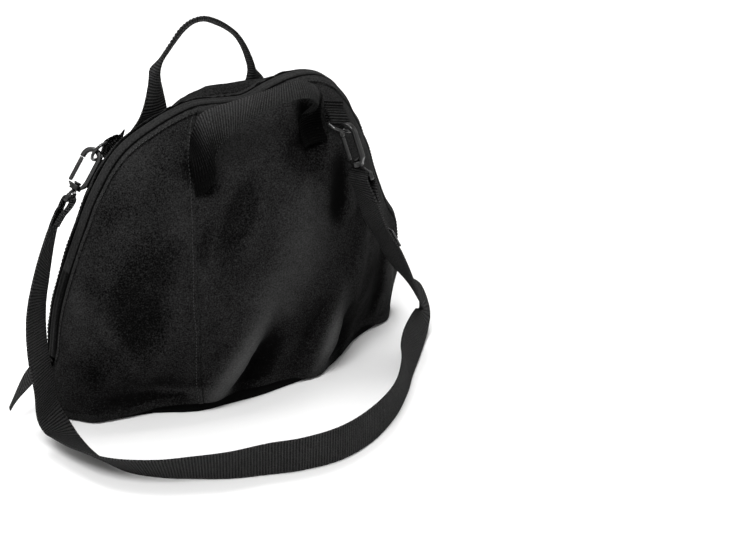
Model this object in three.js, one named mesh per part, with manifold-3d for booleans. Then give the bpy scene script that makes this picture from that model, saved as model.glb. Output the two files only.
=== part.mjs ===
// A soft helmet bag of black woven cloth, closed by a zip over its dome and standing on its base.
// Millimetres, +Z up: X runs along the bag, the front faces -Y, and the origin is the middle of the base on the floor.

import * as THREE from "three";
import Module from "manifold-3d";
import { mergeVertices } from "three/addons/utils/BufferGeometryUtils.js";

const wasm = await Module();
wasm.setup();

// The bag's body
const bagWidth = 412; // between the lower ends of the zip
const bagHeight = 307; // from the floor to the top of the zip
const baseWidth = 392;
const frontDepth = 86; // from the middle of the bag to the front panel
const rearDepth = 78;
const zipEndHeight = 77; // height of the zip's lower ends
const clothWall = 2;
const seamHalf = 0.4; // from the middle to either panel, where they meet below the zip
const seamPlace = -0.47; // the front's vertical seam, as a share from the middle to the side
const sideBulge = 8; // how far the ends bulge past the line from base to zip
const rearCrown = 24; // how far the rear panel stands up behind the zip
const crownPlace = 0.04; // the crown's middle and reach, as shares of the bag's width
const crownReach = 0.125;
const rimHeight = 15; // the base's rim inside the panels
const baseWall = 2.2;

// The zip
const zipHalf = 9; // from the middle of the zip to a panel's hem
const tapeThick = 1;
const tapeUnder = 0.04; // share of the panel's height that the tape runs under it
const coilWidth = 4.4;
const coilHeight = 2;
const sliderLength = 13;
const sliderWidth = 8.8;
const sliderPlate = 1.1;
const pullerLength = 26;
const pullerWidth = 7;
const pullerThick = 1.4;
const endTabLength = 62;
const endTabWidth = 22;

// Webbing, handles and strap
const webWidth = 40;
const webThick = 1.8;
const frontHandleSpan = 126; // between the middles of the handle's feet
const frontHandleMiddle = 16; // to the right of the bag's middle
const rearHandleSpan = 122;
const rearHandleMiddle = 3;
const footLength = 44;
const footLift = 0.6; // above the clearance, for the cloth between the measured points
const frontHandleRise = 55;
const rearHandleRise = 95;
const strapReach = 224; // how far the strap lies in front of the bag's middle
const strapTail = 30;

// Rings, tabs and hooks
const tabWidth = 25;
const tabThick = 1.5;
const tabLength = 24;
const tabTail = 11;
const tabRaise = 2.6; // of the ring above its tab on the cloth
const ringWire = 1.8; // radius
const ringDepth = 16;
const hookLength = 58; // from the strap bar to the top of the bow
const hookWidth = 22;
const hookWire = 5;
const hookThick = 6;
const gateWidth = 3.8;
const loopBar = 4;
const loopSlot = 5.6;
const barrelRadius = 6.2;
const postRadius = 2.6;
const strapSliderLength = 24;
const strapSliderThick = 2.4;
const sliderBack = 12; // toward the front hook from its row of the strap's route
const sliderSlack = 6; // toward the bag from the strap's middle

// Clearance between pieces that touch
const gap = 0.3;

// Colours
const clothColour = 0x1c1d20;
const webColour = 0x202124;
const plasticColour = 0x18181a;
const metalColour = 0xb9bcc0;

const up = new THREE.Vector3(0, 0, 1);
const front = -1;
const rear = 1;
const degrees = Math.PI / 180;

// The zip's line over the dome: x as a share of half the bag's width, z as a share from the zip's ends to its top
const zipLine = [
  { x: -1, z: 0 },
  { x: -0.95, z: 0.25 },
  { x: -0.802, z: 0.573 },
  { x: -0.703, z: 0.743 },
  { x: -0.568, z: 0.889 },
  { x: -0.377, z: 0.969 },
  { x: -0.163, z: 1.01 },
  { x: 0.017, z: 0.985 },
  { x: 0.143, z: 0.969 },
  { x: 0.265, z: 0.995 },
  { x: 0.394, z: 1.012 },
  { x: 0.53, z: 0.997 },
  { x: 0.631, z: 0.938 },
  { x: 0.708, z: 0.841 },
  { x: 0.786, z: 0.697 },
  { x: 0.854, z: 0.522 },
  { x: 0.937, z: 0.293 },
  { x: 1, z: 0.185 },
  { x: 1.025, z: 0 },
];

// Depth of the hem along the base and of the body above it, as shares of the front or rear depth
const frontPlan = [
  { at: -1, hem: 0, body: 0 },
  { at: -0.966, hem: 0.12, body: 0.14 },
  { at: -0.895, hem: 0.32, body: 0.36 },
  { at: -0.745, hem: 0.45, body: 0.6 },
  { at: -0.59, hem: 0.57, body: 0.78 },
  { at: -0.485, hem: 0.74, body: 0.87 },
  { at: -0.36, hem: 0.86, body: 0.95 },
  { at: -0.2, hem: 0.94, body: 1 },
  { at: 0, hem: 0.98, body: 1.02 },
  { at: 0.25, hem: 0.97, body: 1.02 },
  { at: 0.4, hem: 0.92, body: 0.96 },
  { at: 0.53, hem: 0.77, body: 0.86 },
  { at: 0.66, hem: 0.56, body: 0.74 },
  { at: 0.82, hem: 0.42, body: 0.52 },
  { at: 0.93, hem: 0.34, body: 0.3 },
  { at: 0.985, hem: 0.24, body: 0.13 },
  { at: 1, hem: 0, body: 0 },
];
const rearPlan = [
  { at: -1, hem: 0, body: 0 },
  { at: -0.96, hem: 0.16, body: 0.17 },
  { at: -0.85, hem: 0.36, body: 0.42 },
  { at: -0.6, hem: 0.66, body: 0.78 },
  { at: -0.3, hem: 0.9, body: 0.97 },
  { at: 0.05, hem: 1.0, body: 1.03 },
  { at: 0.35, hem: 0.93, body: 0.97 },
  { at: 0.65, hem: 0.68, body: 0.75 },
  { at: 0.87, hem: 0.38, body: 0.42 },
  { at: 0.96, hem: 0.17, body: 0.17 },
  { at: 1, hem: 0, body: 0 },
];

// How full the panels are from hem (0) to zip (1)
const fullness = [
  { at: 0, front: 0.95, rear: 0.93 },
  { at: 0.12, front: 0.99, rear: 0.98 },
  { at: 0.25, front: 1.0, rear: 1.0 },
  { at: 0.45, front: 0.94, rear: 0.97 },
  { at: 0.65, front: 0.81, rear: 0.88 },
  { at: 0.8, front: 0.61, rear: 0.7 },
  { at: 0.9, front: 0.38, rear: 0.46 },
  { at: 1, front: 0, rear: 0 },
];

// How far the front hem is lifted off the floor, as a share of the rim's height
const hemLift = [
  { at: -1, lift: 0.05 },
  { at: -0.75, lift: 0.08 },
  { at: -0.45, lift: 0.45 },
  { at: -0.1, lift: 0.66 },
  { at: 0.12, lift: 0.4 },
  { at: 0.28, lift: 0.06 },
  { at: 0.5, lift: 0.3 },
  { at: 0.72, lift: 0.6 },
  { at: 0.88, lift: 0.1 },
  { at: 1, lift: 0.05 },
];

// Folds: middle (x of half the width, z of the height), turn from upright, and length, width and height as shares
// of the bag's height; a valley's height is below nought
const folds = [
  { side: front, x: -0.2, z: 0.18, turn: -33, length: 0.24, width: 0.04, height: 0.022 },
  { side: front, x: -0.08, z: 0.15, turn: -36, length: 0.2, width: 0.05, height: -0.02 },
  { side: front, x: 0.37, z: 0.13, turn: -27, length: 0.16, width: 0.045, height: 0.018 },
  { side: front, x: 0.5, z: 0.12, turn: -20, length: 0.14, width: 0.05, height: -0.016 },
  { side: front, x: 0.89, z: 0.23, turn: -5, length: 0.16, width: 0.035, height: 0.02 },
  { side: front, x: 0.76, z: 0.24, turn: -8, length: 0.2, width: 0.05, height: -0.018 },
  { side: front, x: -0.1, z: 0.67, turn: -35, length: 0.17, width: 0.045, height: -0.016 },
  { side: front, x: 0.34, z: 0.8, turn: 5, length: 0.1, width: 0.06, height: -0.022 },
  { side: front, x: -0.58, z: 0.1, turn: 90, length: 0.16, width: 0.04, height: -0.014 },
  { side: front, x: -0.62, z: 0.5, turn: -20, length: 0.3, width: 0.09, height: -0.014 },
  { side: front, x: 0.1, z: 0.42, turn: -40, length: 0.34, width: 0.1, height: 0.014 },
  { side: rear, x: -0.35, z: 0.25, turn: 30, length: 0.24, width: 0.05, height: -0.02 },
  { side: rear, x: 0.4, z: 0.22, turn: -25, length: 0.22, width: 0.05, height: -0.02 },
  { side: rear, x: 0.05, z: 0.55, turn: 60, length: 0.26, width: 0.08, height: -0.016 },
];

// Handle arches: across as a share of half the span, rise as a share of the handle's rise, fold from flat to closed
const frontArch = [
  { across: -1.06, rise: 0.15, fold: 0.1 },
  { across: -1.17, rise: 0.5, fold: 0.6 },
  { across: -1.15, rise: 0.8, fold: 1 },
  { across: -0.95, rise: 0.98, fold: 1 },
  { across: -0.4, rise: 1, fold: 1 },
  { across: 0.2, rise: 1.02, fold: 1 },
  { across: 0.62, rise: 1.02, fold: 1 },
  { across: 0.83, rise: 0.85, fold: 1 },
  { across: 0.93, rise: 0.55, fold: 0.6 },
  { across: 0.98, rise: 0.2, fold: 0.15 },
];
const rearArch = [
  { across: -0.9, rise: 0.14, fold: 0.1 },
  { across: -0.9, rise: 0.38, fold: 0.5 },
  { across: -0.885, rise: 0.5, fold: 0.85 },
  { across: -0.74, rise: 0.66, fold: 1 },
  { across: -0.52, rise: 0.87, fold: 1 },
  { across: -0.31, rise: 0.97, fold: 1 },
  { across: -0.12, rise: 1, fold: 1 },
  { across: 0.07, rise: 0.98, fold: 1 },
  { across: 0.27, rise: 0.91, fold: 1 },
  { across: 0.51, rise: 0.79, fold: 1 },
  { across: 0.64, rise: 0.68, fold: 1 },
  { across: 0.79, rise: 0.5, fold: 0.9 },
  { across: 0.9, rise: 0.25, fold: 0.4 },
  { across: 0.97, rise: 0.1, fold: 0.1 },
];

// Where each strap end is held: the tab's sewn end on the panel (x of half the width, z of the height), its turn
// from upright, the ring's lift off the cloth, the hook's spin about its length, and the
// directions down the hook and across its loop
const anchors = {
  front: {
    side: front, x: 0.537, z: 0.921, turn: 204, lift: 40, spin: 24,
    aim: { x: 0.13, y: -0.33, z: -0.94 },
    across: { x: -0.12, y: -0.84, z: 0.52 },
  },
  rear: {
    side: rear, x: -0.425, z: 0.88, turn: -108, lift: 6, spin: 174,
    aim: { x: -0.62, y: -0.06, z: -0.78 },
    across: { x: -0.5, y: -0.72, z: 0.48 },
  },
};

// The strap's inner edge from the front hook to the rear one: x of half the bag's width, y of the strap's reach,
// z of the bag's height, and the direction across the webbing
const strapRoute = [
  { x: 0.607, y: -0.31, z: 0.543, acrossX: 0.02, acrossY: -0.98, acrossZ: 0.1 },
  { x: 0.677, y: -0.316, z: 0.448, acrossX: 0.07, acrossY: -0.985, acrossZ: 0.06 },
  { x: 0.742, y: -0.31, z: 0.362, acrossX: 0.05, acrossY: -0.99, acrossZ: 0.02 },
  { x: 0.815, y: -0.305, z: 0.288, acrossX: -0.1, acrossY: -0.99, acrossZ: -0.03 },
  { x: 0.887, y: -0.302, z: 0.218, acrossX: -0.2, acrossY: -0.975, acrossZ: -0.1 },
  { x: 0.985, y: -0.303, z: 0.137, acrossX: -0.5, acrossY: -0.85, acrossZ: -0.15 },
  { x: 1.03, y: -0.318, z: 0.055, acrossX: -0.75, acrossY: -0.6, acrossZ: 0.27 },
  { x: 1, y: -0.345, z: 0.012, acrossX: -0.62, acrossY: -0.4, acrossZ: 0.65 },
  { x: 0.945, y: -0.375, z: 0.002, acrossX: -0.45, acrossY: -0.2, acrossZ: 0.87 },
  { x: 0.73, y: -0.575, z: 0.002, acrossX: -0.15, acrossY: 0.05, acrossZ: 1 },
  { x: 0.602, y: -0.727, z: 0.002, acrossX: 0, acrossY: 0, acrossZ: 1 },
  { x: 0.403, y: -0.857, z: 0.002, acrossX: 0, acrossY: 0, acrossZ: 1 },
  { x: 0.16, y: -0.961, z: 0.002, acrossX: 0, acrossY: 0, acrossZ: 1 },
  { x: -0.052, y: -1, z: 0.002, acrossX: 0, acrossY: -0.03, acrossZ: 1 },
  { x: -0.252, y: -0.968, z: 0.002, acrossX: 0, acrossY: -0.1, acrossZ: 1 },
  { x: -0.397, y: -0.913, z: 0.002, acrossX: 0, acrossY: -0.15, acrossZ: 1 },
  { x: -0.566, y: -0.841, z: 0.002, acrossX: -0.15, acrossY: -0.25, acrossZ: 0.95 },
  { x: -0.703, y: -0.754, z: 0.002, acrossX: -0.3, acrossY: -0.3, acrossZ: 0.9 },
  { x: -0.82, y: -0.669, z: 0.002, acrossX: -0.41, acrossY: -0.34, acrossZ: 0.84 },
  { x: -0.938, y: -0.536, z: 0.002, acrossX: -0.6, acrossY: -0.26, acrossZ: 0.75 },
  { x: -0.985, y: -0.357, z: 0.002, acrossX: -0.76, acrossY: -0.24, acrossZ: 0.6 },
  { x: -0.99, y: -0.2, z: 0.014, acrossX: -0.86, acrossY: -0.2, acrossZ: 0.42 },
  { x: -1, y: -0.125, z: 0.05, acrossX: -0.87, acrossY: -0.35, acrossZ: 0.25 },
  { x: -1.025, y: -0.075, z: 0.11, acrossX: -0.83, acrossY: -0.47, acrossZ: 0.18 },
  { x: -1.04, y: -0.065, z: 0.22, acrossX: -0.8, acrossY: -0.57, acrossZ: 0.15 },
  { x: -1.04, y: -0.035, z: 0.31, acrossX: -0.8, acrossY: -0.57, acrossZ: 0.14 },
  { x: -1.01, y: 0.01, z: 0.433, acrossX: -0.8, acrossY: -0.57, acrossZ: 0.15 },
  { x: -0.955, y: 0.035, z: 0.565, acrossX: -0.72, acrossY: -0.63, acrossZ: 0.29 },
];

// Numbers of steps in the meshes
const columns = 56; // across a panel
const panelRows = 16;
const rearRows = 14;
const strapStep = 13; // mm along the webbing
const ringSides = 8;

const vec = (x, y, z) => new THREE.Vector3(x, y, z);
const mix = (a, b, share) => a + (b - a) * share;
const smooth = (a, b, x) => THREE.MathUtils.smoothstep(x, a, b);

// Value of one column of a table at a place, through its rows by a smooth curve that doesn't overshoot
function readTable(rows, column, at) {
  const last = rows.length - 2;
  let i = 0;
  while (i < last && at > rows[i + 1].at) i++;
  const slope = (k) => {
    if (k < 0 || k > last) return null;
    return (rows[k + 1][column] - rows[k][column]) / (rows[k + 1].at - rows[k].at);
  };
  const tangent = (k) => {
    const before = slope(k - 1);
    const after = slope(k);
    if (before === null) return after;
    if (after === null) return before;
    return before * after <= 0 ? 0 : (2 * before * after) / (before + after);
  };
  const width = rows[i + 1].at - rows[i].at;
  const u = THREE.MathUtils.clamp((at - rows[i].at) / width, 0, 1);
  const a = rows[i][column];
  const b = rows[i + 1][column];
  const cubic = (2 * a - 2 * b + width * (tangent(i) + tangent(i + 1))) * u ** 3;
  const square = (3 * b - 3 * a - width * (2 * tangent(i) + tangent(i + 1))) * u ** 2;
  return cubic + square + width * tangent(i) * u + a;
}

// A closed mesh from vertices and faces, turned so that its faces point out
function solid(points, faces) {
  let volume = 0;
  for (const [a, b, c] of faces)
    volume += points[a].dot(points[b].clone().cross(points[c]));
  const index = volume > 0 ? faces : faces.map(([a, b, c]) => [a, c, b]);
  const geometry = new THREE.BufferGeometry();
  geometry.setAttribute(
    "position",
    new THREE.Float32BufferAttribute(points.flatMap((p) => p.toArray()), 3),
  );
  geometry.setIndex(index.flat());
  geometry.computeVertexNormals();
  return geometry;
}

// A sheet between two grids of points, closed round its edge
function slab(outer, inner) {
  const rows = outer[0].length;
  const points = [...outer.flat(), ...inner.flat()];
  const faces = [];
  const at = (i, j, under) => i * rows + j + (under ? outer.length * rows : 0);
  const quad = (a, b, c, d) => faces.push([a, b, c], [a, c, d]);
  for (let i = 0; i + 1 < outer.length; i++) {
    for (let j = 0; j + 1 < rows; j++) {
      quad(at(i, j), at(i + 1, j), at(i + 1, j + 1), at(i, j + 1));
      quad(at(i, j, 1), at(i, j + 1, 1), at(i + 1, j + 1, 1), at(i + 1, j, 1));
    }
    const top = rows - 1;
    quad(at(i, 0), at(i, 0, 1), at(i + 1, 0, 1), at(i + 1, 0));
    quad(at(i, top), at(i + 1, top), at(i + 1, top, 1), at(i, top, 1));
  }
  for (let j = 0; j + 1 < rows; j++) {
    const end = outer.length - 1;
    quad(at(0, j), at(0, j + 1), at(0, j + 1, 1), at(0, j, 1));
    quad(at(end, j), at(end, j, 1), at(end, j + 1, 1), at(end, j + 1));
  }
  return solid(points, faces);
}

// A skin through rings of points, with flat ends or joined end to end
function loft(rings, joined = false) {
  const sides = rings[0].length;
  const points = rings.flat();
  const faces = [];
  const turns = joined ? rings.length : rings.length - 1;
  for (let i = 0; i < turns; i++) {
    const next = (i + 1) % rings.length;
    for (let j = 0; j < sides; j++) {
      const k = (j + 1) % sides;
      faces.push([i * sides + j, next * sides + j, next * sides + k]);
      faces.push([i * sides + j, next * sides + k, i * sides + k]);
    }
  }
  if (!joined) {
    const end = (rings.length - 1) * sides;
    const flat = capFaces(rings[0]);
    for (const [a, b, c] of flat) faces.push([a, b, c]);
    for (const [a, b, c] of flat) faces.push([end + a, end + c, end + b]);
  }
  return solid(points, faces);
}

// Triangles of a flat ring, which may bend inwards: from end to end for a folded strip, whose ring runs along one
// face and back along the other
function capFaces(ring) {
  const faces = [];
  let low = 0;
  let high = ring.length - 1;
  while (high - low > 1) {
    faces.push([low, low + 1, high]);
    low += 1;
    if (high - low > 1) faces.push([low, high - 1, high]);
    high -= 1;
  }
  return faces;
}

// Pieces joined to one, with others cut away
function fuse(pieces, cuts = []) {
  const toSolid = (geometry) => {
    const bare = geometry.clone();
    for (const name of Object.keys(bare.attributes))
      if (name !== "position") bare.deleteAttribute(name);
    const merged = mergeVertices(bare, 1e-3);
    const vertProperties = merged.attributes.position.array;
    const triVerts = new Uint32Array(merged.index.array);
    return new wasm.Manifold(new wasm.Mesh({ numProp: 3, vertProperties, triVerts }));
  };
  let whole = toSolid(pieces[0]);
  for (const piece of pieces.slice(1)) whole = whole.add(toSolid(piece));
  for (const cut of cuts) whole = whole.subtract(toSolid(cut));
  const mesh = whole.getMesh();
  const geometry = new THREE.BufferGeometry();
  geometry.setAttribute("position", new THREE.BufferAttribute(mesh.vertProperties.slice(), 3));
  geometry.setIndex(new THREE.BufferAttribute(mesh.triVerts.slice(), 1));
  geometry.computeVertexNormals();
  return geometry;
}

// The zip's line, from its left end to its right one
const zipCurve = new THREE.CatmullRomCurve3(
  zipLine.map(({ x, z }) => vec((x * bagWidth) / 2, 0, mix(zipEndHeight, bagHeight, z))),
  false,
  "centripetal",
);
zipCurve.arcLengthDivisions = 600;
const zipLength = zipCurve.getLength();

// Where a column of a panel meets the zip, as a share of the zip's length
function columnTop(side, s) {
  const skew = side === front ? 0.03 : 0;
  return 0.5 + 0.5 * (0.33 * s + 0.67 * s ** 3 + skew * (1 - s * s));
}

function foldHeight(side, x, z, share) {
  const calm = 1 - smooth(0.84, 0.98, share);
  let height = 0;
  for (const fold of folds) {
    if (fold.side !== side) continue;
    const dx = x - (fold.x * bagWidth) / 2;
    const dz = z - fold.z * bagHeight;
    const cos = Math.cos(fold.turn * degrees);
    const sin = Math.sin(fold.turn * degrees);
    const along = (dz * cos - dx * sin) / (fold.length * bagHeight);
    const across = (dx * cos + dz * sin) / (fold.width * bagHeight);
    height += fold.height * bagHeight * Math.exp(-(across ** 2) - (1.4 * along) ** 2);
  }
  return height * calm;
}

// The body's outer face: s runs from the left side (-1) to the right one (1), t from the floor (0) to the zip (1)
function shell(side, s, t) {
  const plan = side === front ? frontPlan : rearPlan;
  const depth = side === front ? frontDepth : rearDepth;
  const share = columnTop(side, s);
  const top = zipCurve.getPointAt(THREE.MathUtils.clamp(share, 0, 1));
  const bulge = Math.sign(s) * sideBulge * Math.sin(Math.PI * t) ** 2 * smooth(0.5, 1, Math.abs(s));
  const x = mix((baseWidth / 2) * s, top.x, t) + bulge;
  const swell = Math.exp(-(((x - crownPlace * bagWidth) / (crownReach * bagWidth)) ** 2));
  const crown = side === rear ? rearCrown * swell * smooth(0.7, 0.93, t) * (1 - smooth(0.93, 1, t)) : 0;
  const z = top.z * t + crown;
  const lens = mix(readTable(plan, "hem", s), readTable(plan, "body", s), smooth(0, 0.35, t));
  const full = readTable(fullness, side === front ? "front" : "rear", t);
  const atZip = smooth(0.72, 1, t) * (1 - smooth(0.96, 1, Math.abs(2 * share - 1)) * 0.3);
  const edge = mix(seamHalf, zipHalf, atZip);
  const inside = 1 - smooth(0.9, 1, Math.abs(s));
  return vec(x, side * (edge + lens * depth * full + foldHeight(side, x, z, t) * inside), z);
}

// Point, outward normal, and directions to the right and up the panel
function shellFrame(side, s, t) {
  const step = 0.004;
  const s0 = Math.max(-1, s - step);
  const s1 = Math.min(1, s + step);
  const t0 = Math.max(0, t - step);
  const t1 = Math.min(1, t + step);
  const right = shell(side, s1, t).sub(shell(side, s0, t)).normalize();
  const rise = shell(side, s, t1).sub(shell(side, s, t0)).normalize();
  const normal = right.clone().cross(rise).normalize();
  if (side === rear) normal.negate();
  return { point: shell(side, s, t), normal, right, rise };
}

// A point at a depth below the outer face, still on its own side of the bag's middle
function inset(side, s, t, depth) {
  const { point, normal } = shellFrame(side, s, t);
  point.addScaledVector(normal, -depth);
  return point.setY(side * Math.max(side * point.y, seamHalf / 2));
}

// The place on a panel that has this x and z
function onShell(side, x, z) {
  let s = x / (bagWidth / 2);
  let t = z / bagHeight;
  const step = 1e-3;
  for (let i = 0; i < 14; i++) {
    const here = shell(side, s, t);
    const ds = shell(side, s + step, t).sub(here).divideScalar(step);
    const dt = shell(side, s, t - step).sub(here).divideScalar(-step);
    const det = ds.x * dt.z - dt.x * ds.z;
    s += ((x - here.x) * dt.z - dt.x * (z - here.z)) / det;
    t += (ds.x * (z - here.z) - (x - here.x) * ds.z) / det;
    s = THREE.MathUtils.clamp(s, -0.97, 0.97);
    t = THREE.MathUtils.clamp(t, 0.02, 0.995);
  }
  return shellFrame(side, s, t);
}

// Steps from hem to zip, closer together at both ends
function rowShare(j, rows) {
  return mix(j / rows, 0.5 - 0.5 * Math.cos((Math.PI * j) / rows), 0.45);
}

function columnList(from, to, stride) {
  const list = [];
  for (let i = 0; i <= columns; i += stride) {
    const s = -1 + (2 * i) / columns;
    if (s > from + 1e-6 && s < to - 1e-6) list.push(s);
  }
  return [from, ...list, to];
}

const seamGap = gap / baseWidth;

function panel(side, from, to, rows, stride) {
  const floorShare = 0.5 / bagHeight;
  const list = columnList(from, to, stride);
  const grid = (depth) =>
    list.map((s) => {
      const lift = side === front ? readTable(hemLift, "lift", s) : 0.05;
      const bottom = floorShare + (lift * rimHeight) / shell(side, s, 1).z;
      const column = [];
      for (let j = 0; j <= rows; j++)
        column.push(inset(side, s, mix(bottom, 1, rowShare(j, rows)), depth));
      return column;
    });
  return slab(grid(0), grid(clothWall));
}

// The base: a flat lens with a low rim that stands inside the panels
function basePanel() {
  const stride = 2;
  const list = columnList(-1, 1, stride);
  const clear = clothWall + gap + 0.2;
  const ring = (height, depth) => {
    const place = (side) => (s) => {
      const t = height / shell(side, s, 1).z;
      const point = inset(side, s, Math.max(t, 0), depth);
      const reach = Math.max(side * point.y, 0.5 + (clear + baseWall - depth) * 0.2);
      return vec(point.x, side * reach, height);
    };
    const ends = 0.94;
    const inner = list.map((s) => s * ends);
    return [...inner.map(place(front)), ...inner.reverse().map(place(rear))];
  };
  const rings = [
    ring(0, clear + 0.4),
    ring(rimHeight, clear + 0.4),
    ring(rimHeight, clear + 0.4 + baseWall),
    ring(baseWall, clear + 0.4 + baseWall),
  ];
  return loft(rings);
}

// A point near the zip: share of its length, distance to the side and depth below its line
function zipPlace(share, y, depth) {
  const point = zipCurve.getPointAt(share);
  const along = zipCurve.getTangentAt(share);
  const out = vec(-along.z, 0, along.x);
  return point.addScaledVector(out, -depth).setY(y);
}

function tapeDepth(side, s) {
  const { point, normal } = shellFrame(side, s, 1);
  const under = point.clone().addScaledVector(normal, -clothWall - gap);
  const along = zipCurve.getTangentAt(THREE.MathUtils.clamp(columnTop(side, s), 0, 1));
  const out = vec(-along.z, 0, along.x);
  return point.sub(under).dot(out);
}

function zipTape(side, stride) {
  const clear = clothWall + gap;
  const grid = (depth) =>
    columnList(-1, 1, stride).map((s) => {
      const share = THREE.MathUtils.clamp(columnTop(side, s), 0, 1);
      const inner = zipPlace(share, side * (coilWidth / 2 + gap), tapeDepth(side, s) + depth);
      return [
        inset(side, s, 1 - tapeUnder, clear + depth),
        inset(side, s, 1, clear + depth),
        inner,
      ];
    });
  return slab(grid(0), grid(tapeThick));
}

// Where the coil ends, beside the slider's post
const coilEnd = 1 - (sliderLength * 1.25) / zipLength;

function zipCoil() {
  const rings = [];
  const steps = columns / 2;
  for (let i = 0; i <= steps; i++) {
    const share = mix(0.004, coilEnd, i / steps);
    const middle = tapeDepth(front, Math.cbrt((2 * share - 1) * 0.999)) + tapeThick / 2;
    const half = coilWidth / 2;
    rings.push([
      zipPlace(share, -half, middle - coilHeight * 0.15),
      zipPlace(share, -half * 0.6, middle - coilHeight / 2),
      zipPlace(share, half * 0.6, middle - coilHeight / 2),
      zipPlace(share, half, middle - coilHeight * 0.15),
      zipPlace(share, half, middle + coilHeight / 2),
      zipPlace(share, -half, middle + coilHeight / 2),
    ]);
  }
  return loft(rings);
}

// A strip through stations: each has its middle, the direction across it and how far it is folded
function strip(stations, width, thick) {
  const rings = stations.map((station, i) => {
    const before = stations[Math.max(i - 1, 0)].middle;
    const after = stations[Math.min(i + 1, stations.length - 1)].middle;
    const along = after.clone().sub(before).normalize();
    const across = station.across.clone().addScaledVector(along, -station.across.dot(along)).normalize();
    const face = across.clone().cross(along).normalize();
    if (!station.fold && station.fold !== 0) return flatRing(station.middle, across, face, width, thick);
    return foldedRing(station.middle, across, face, width, thick, station.fold * 90 * degrees);
  });
  return loft(rings);
}

function flatRing(middle, across, face, width, thick) {
  const corner = (a, b) =>
    middle.clone().addScaledVector(across, (a * width) / 2).addScaledVector(face, (b * thick) / 2);
  return [corner(-1, 1), corner(1, 1), corner(1, -1), corner(-1, -1)];
}

// Webbing folded along its middle: its ring runs along the outer face and back along the inner one
function foldedRing(middle, across, face, width, thick, angle) {
  const knee = thick / 2 + gap;
  const leg = width / 2 - knee;
  const half = thick / 2;
  const mitre = half * Math.tan(angle / 2);
  const at = (a, b) => middle.clone().addScaledVector(across, a).addScaledVector(face, b);
  const endA = knee + leg * Math.cos(angle);
  const endB = leg * Math.sin(angle);
  const out = { a: half * Math.sin(angle), b: -half * Math.cos(angle) };
  return [
    at(-endA - out.a, endB + out.b),
    at(-knee - mitre, -half),
    at(knee + mitre, -half),
    at(endA + out.a, endB + out.b),
    at(endA - out.a, endB - out.b),
    at(knee - mitre, half),
    at(-knee + mitre, half),
    at(-endA + out.a, endB - out.b),
  ];
}

// Smooth stations between given ones, about one step apart
function refine(stations, step) {
  const middles = new THREE.CatmullRomCurve3(stations.map((p) => p.middle), false, "centripetal");
  const acrosses = new THREE.CatmullRomCurve3(stations.map((p) => p.across), false, "catmullrom", 0.4);
  const fine = [];
  for (let i = 0; i + 1 < stations.length; i++) {
    const length = stations[i].middle.distanceTo(stations[i + 1].middle);
    const count = Math.max(1, Math.round(length / step));
    for (let k = 0; k < count; k++) fine.push(i + k / count);
  }
  fine.push(stations.length - 1);
  return fine.map((place) => {
    const i = Math.min(Math.floor(place), stations.length - 2);
    const share = place / (stations.length - 1);
    return {
      middle: middles.getPoint(share),
      across: acrosses.getPoint(share).normalize(),
      fold: mix(stations[i].fold, stations[i + 1].fold, place - i),
    };
  });
}

// A handle: two feet sewn flat on the panel and an arch of webbing that is folded in half. It leans outwards by the
// one angle, and its folded webbing is tilted by the other.
function handle(side, arch, feet, { rise, lean, tilt }) {
  const half = feet.span / 2;
  const lift = gap + webThick / 2;
  const foot = (sign) => {
    const list = [];
    for (const down of [1, 0.66, 0.33, 0]) {
      const x = feet.centre + sign * half;
      const z = feet.top - down * footLength * 0.8;
      const edges = [-1, 1].map((end) => onShell(side, x + (end * webWidth) / 2, z).point);
      const across = edges[1].clone().sub(edges[0]).normalize();
      const middle = edges[0].clone().add(edges[1]).divideScalar(2);
      const { normal } = onShell(side, x, z);
      const heightAt = (share) => onShell(side, x + share * webWidth, z).point.sub(middle).dot(normal);
      const bump = Math.max(0, ...[-0.5, 0, 0.5].map(heightAt));
      middle.addScaledVector(normal, lift + footLift + bump);
      list.push({ middle, across: across.multiplyScalar(-sign), fold: 0 });
    }
    return list;
  };
  const left = foot(-1);
  const right = foot(1).reverse();
  const base = left[3].middle.clone().add(right[0].middle).divideScalar(2);
  const upward = vec(0, side * Math.sin(lean * degrees), Math.cos(lean * degrees));
  const normal = vec(0, side * Math.cos(tilt * degrees), -Math.sin(tilt * degrees));
  const places = arch.map(({ across, rise: share }) =>
    base.clone().addScaledVector(vec(1, 0, 0), across * half).addScaledVector(upward, share * rise),
  );
  const over = arch.map(({ fold }, i) => {
    const before = i ? places[i - 1] : left[3].middle;
    const after = i + 1 < places.length ? places[i + 1] : right[0].middle;
    const along = after.clone().sub(before).normalize();
    return { middle: places[i], across: along.cross(normal).normalize(), fold };
  });
  const fix = (list, last) =>
    list.map((p) => ({ ...p, across: last.dot(p.across) < 0 ? p.across.clone().negate() : p.across }));
  const all = [...fix(left, over[0].across), ...over, ...fix(right, over[over.length - 1].across)];
  return strip(refine(all, 15), webWidth, webThick);
}

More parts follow.
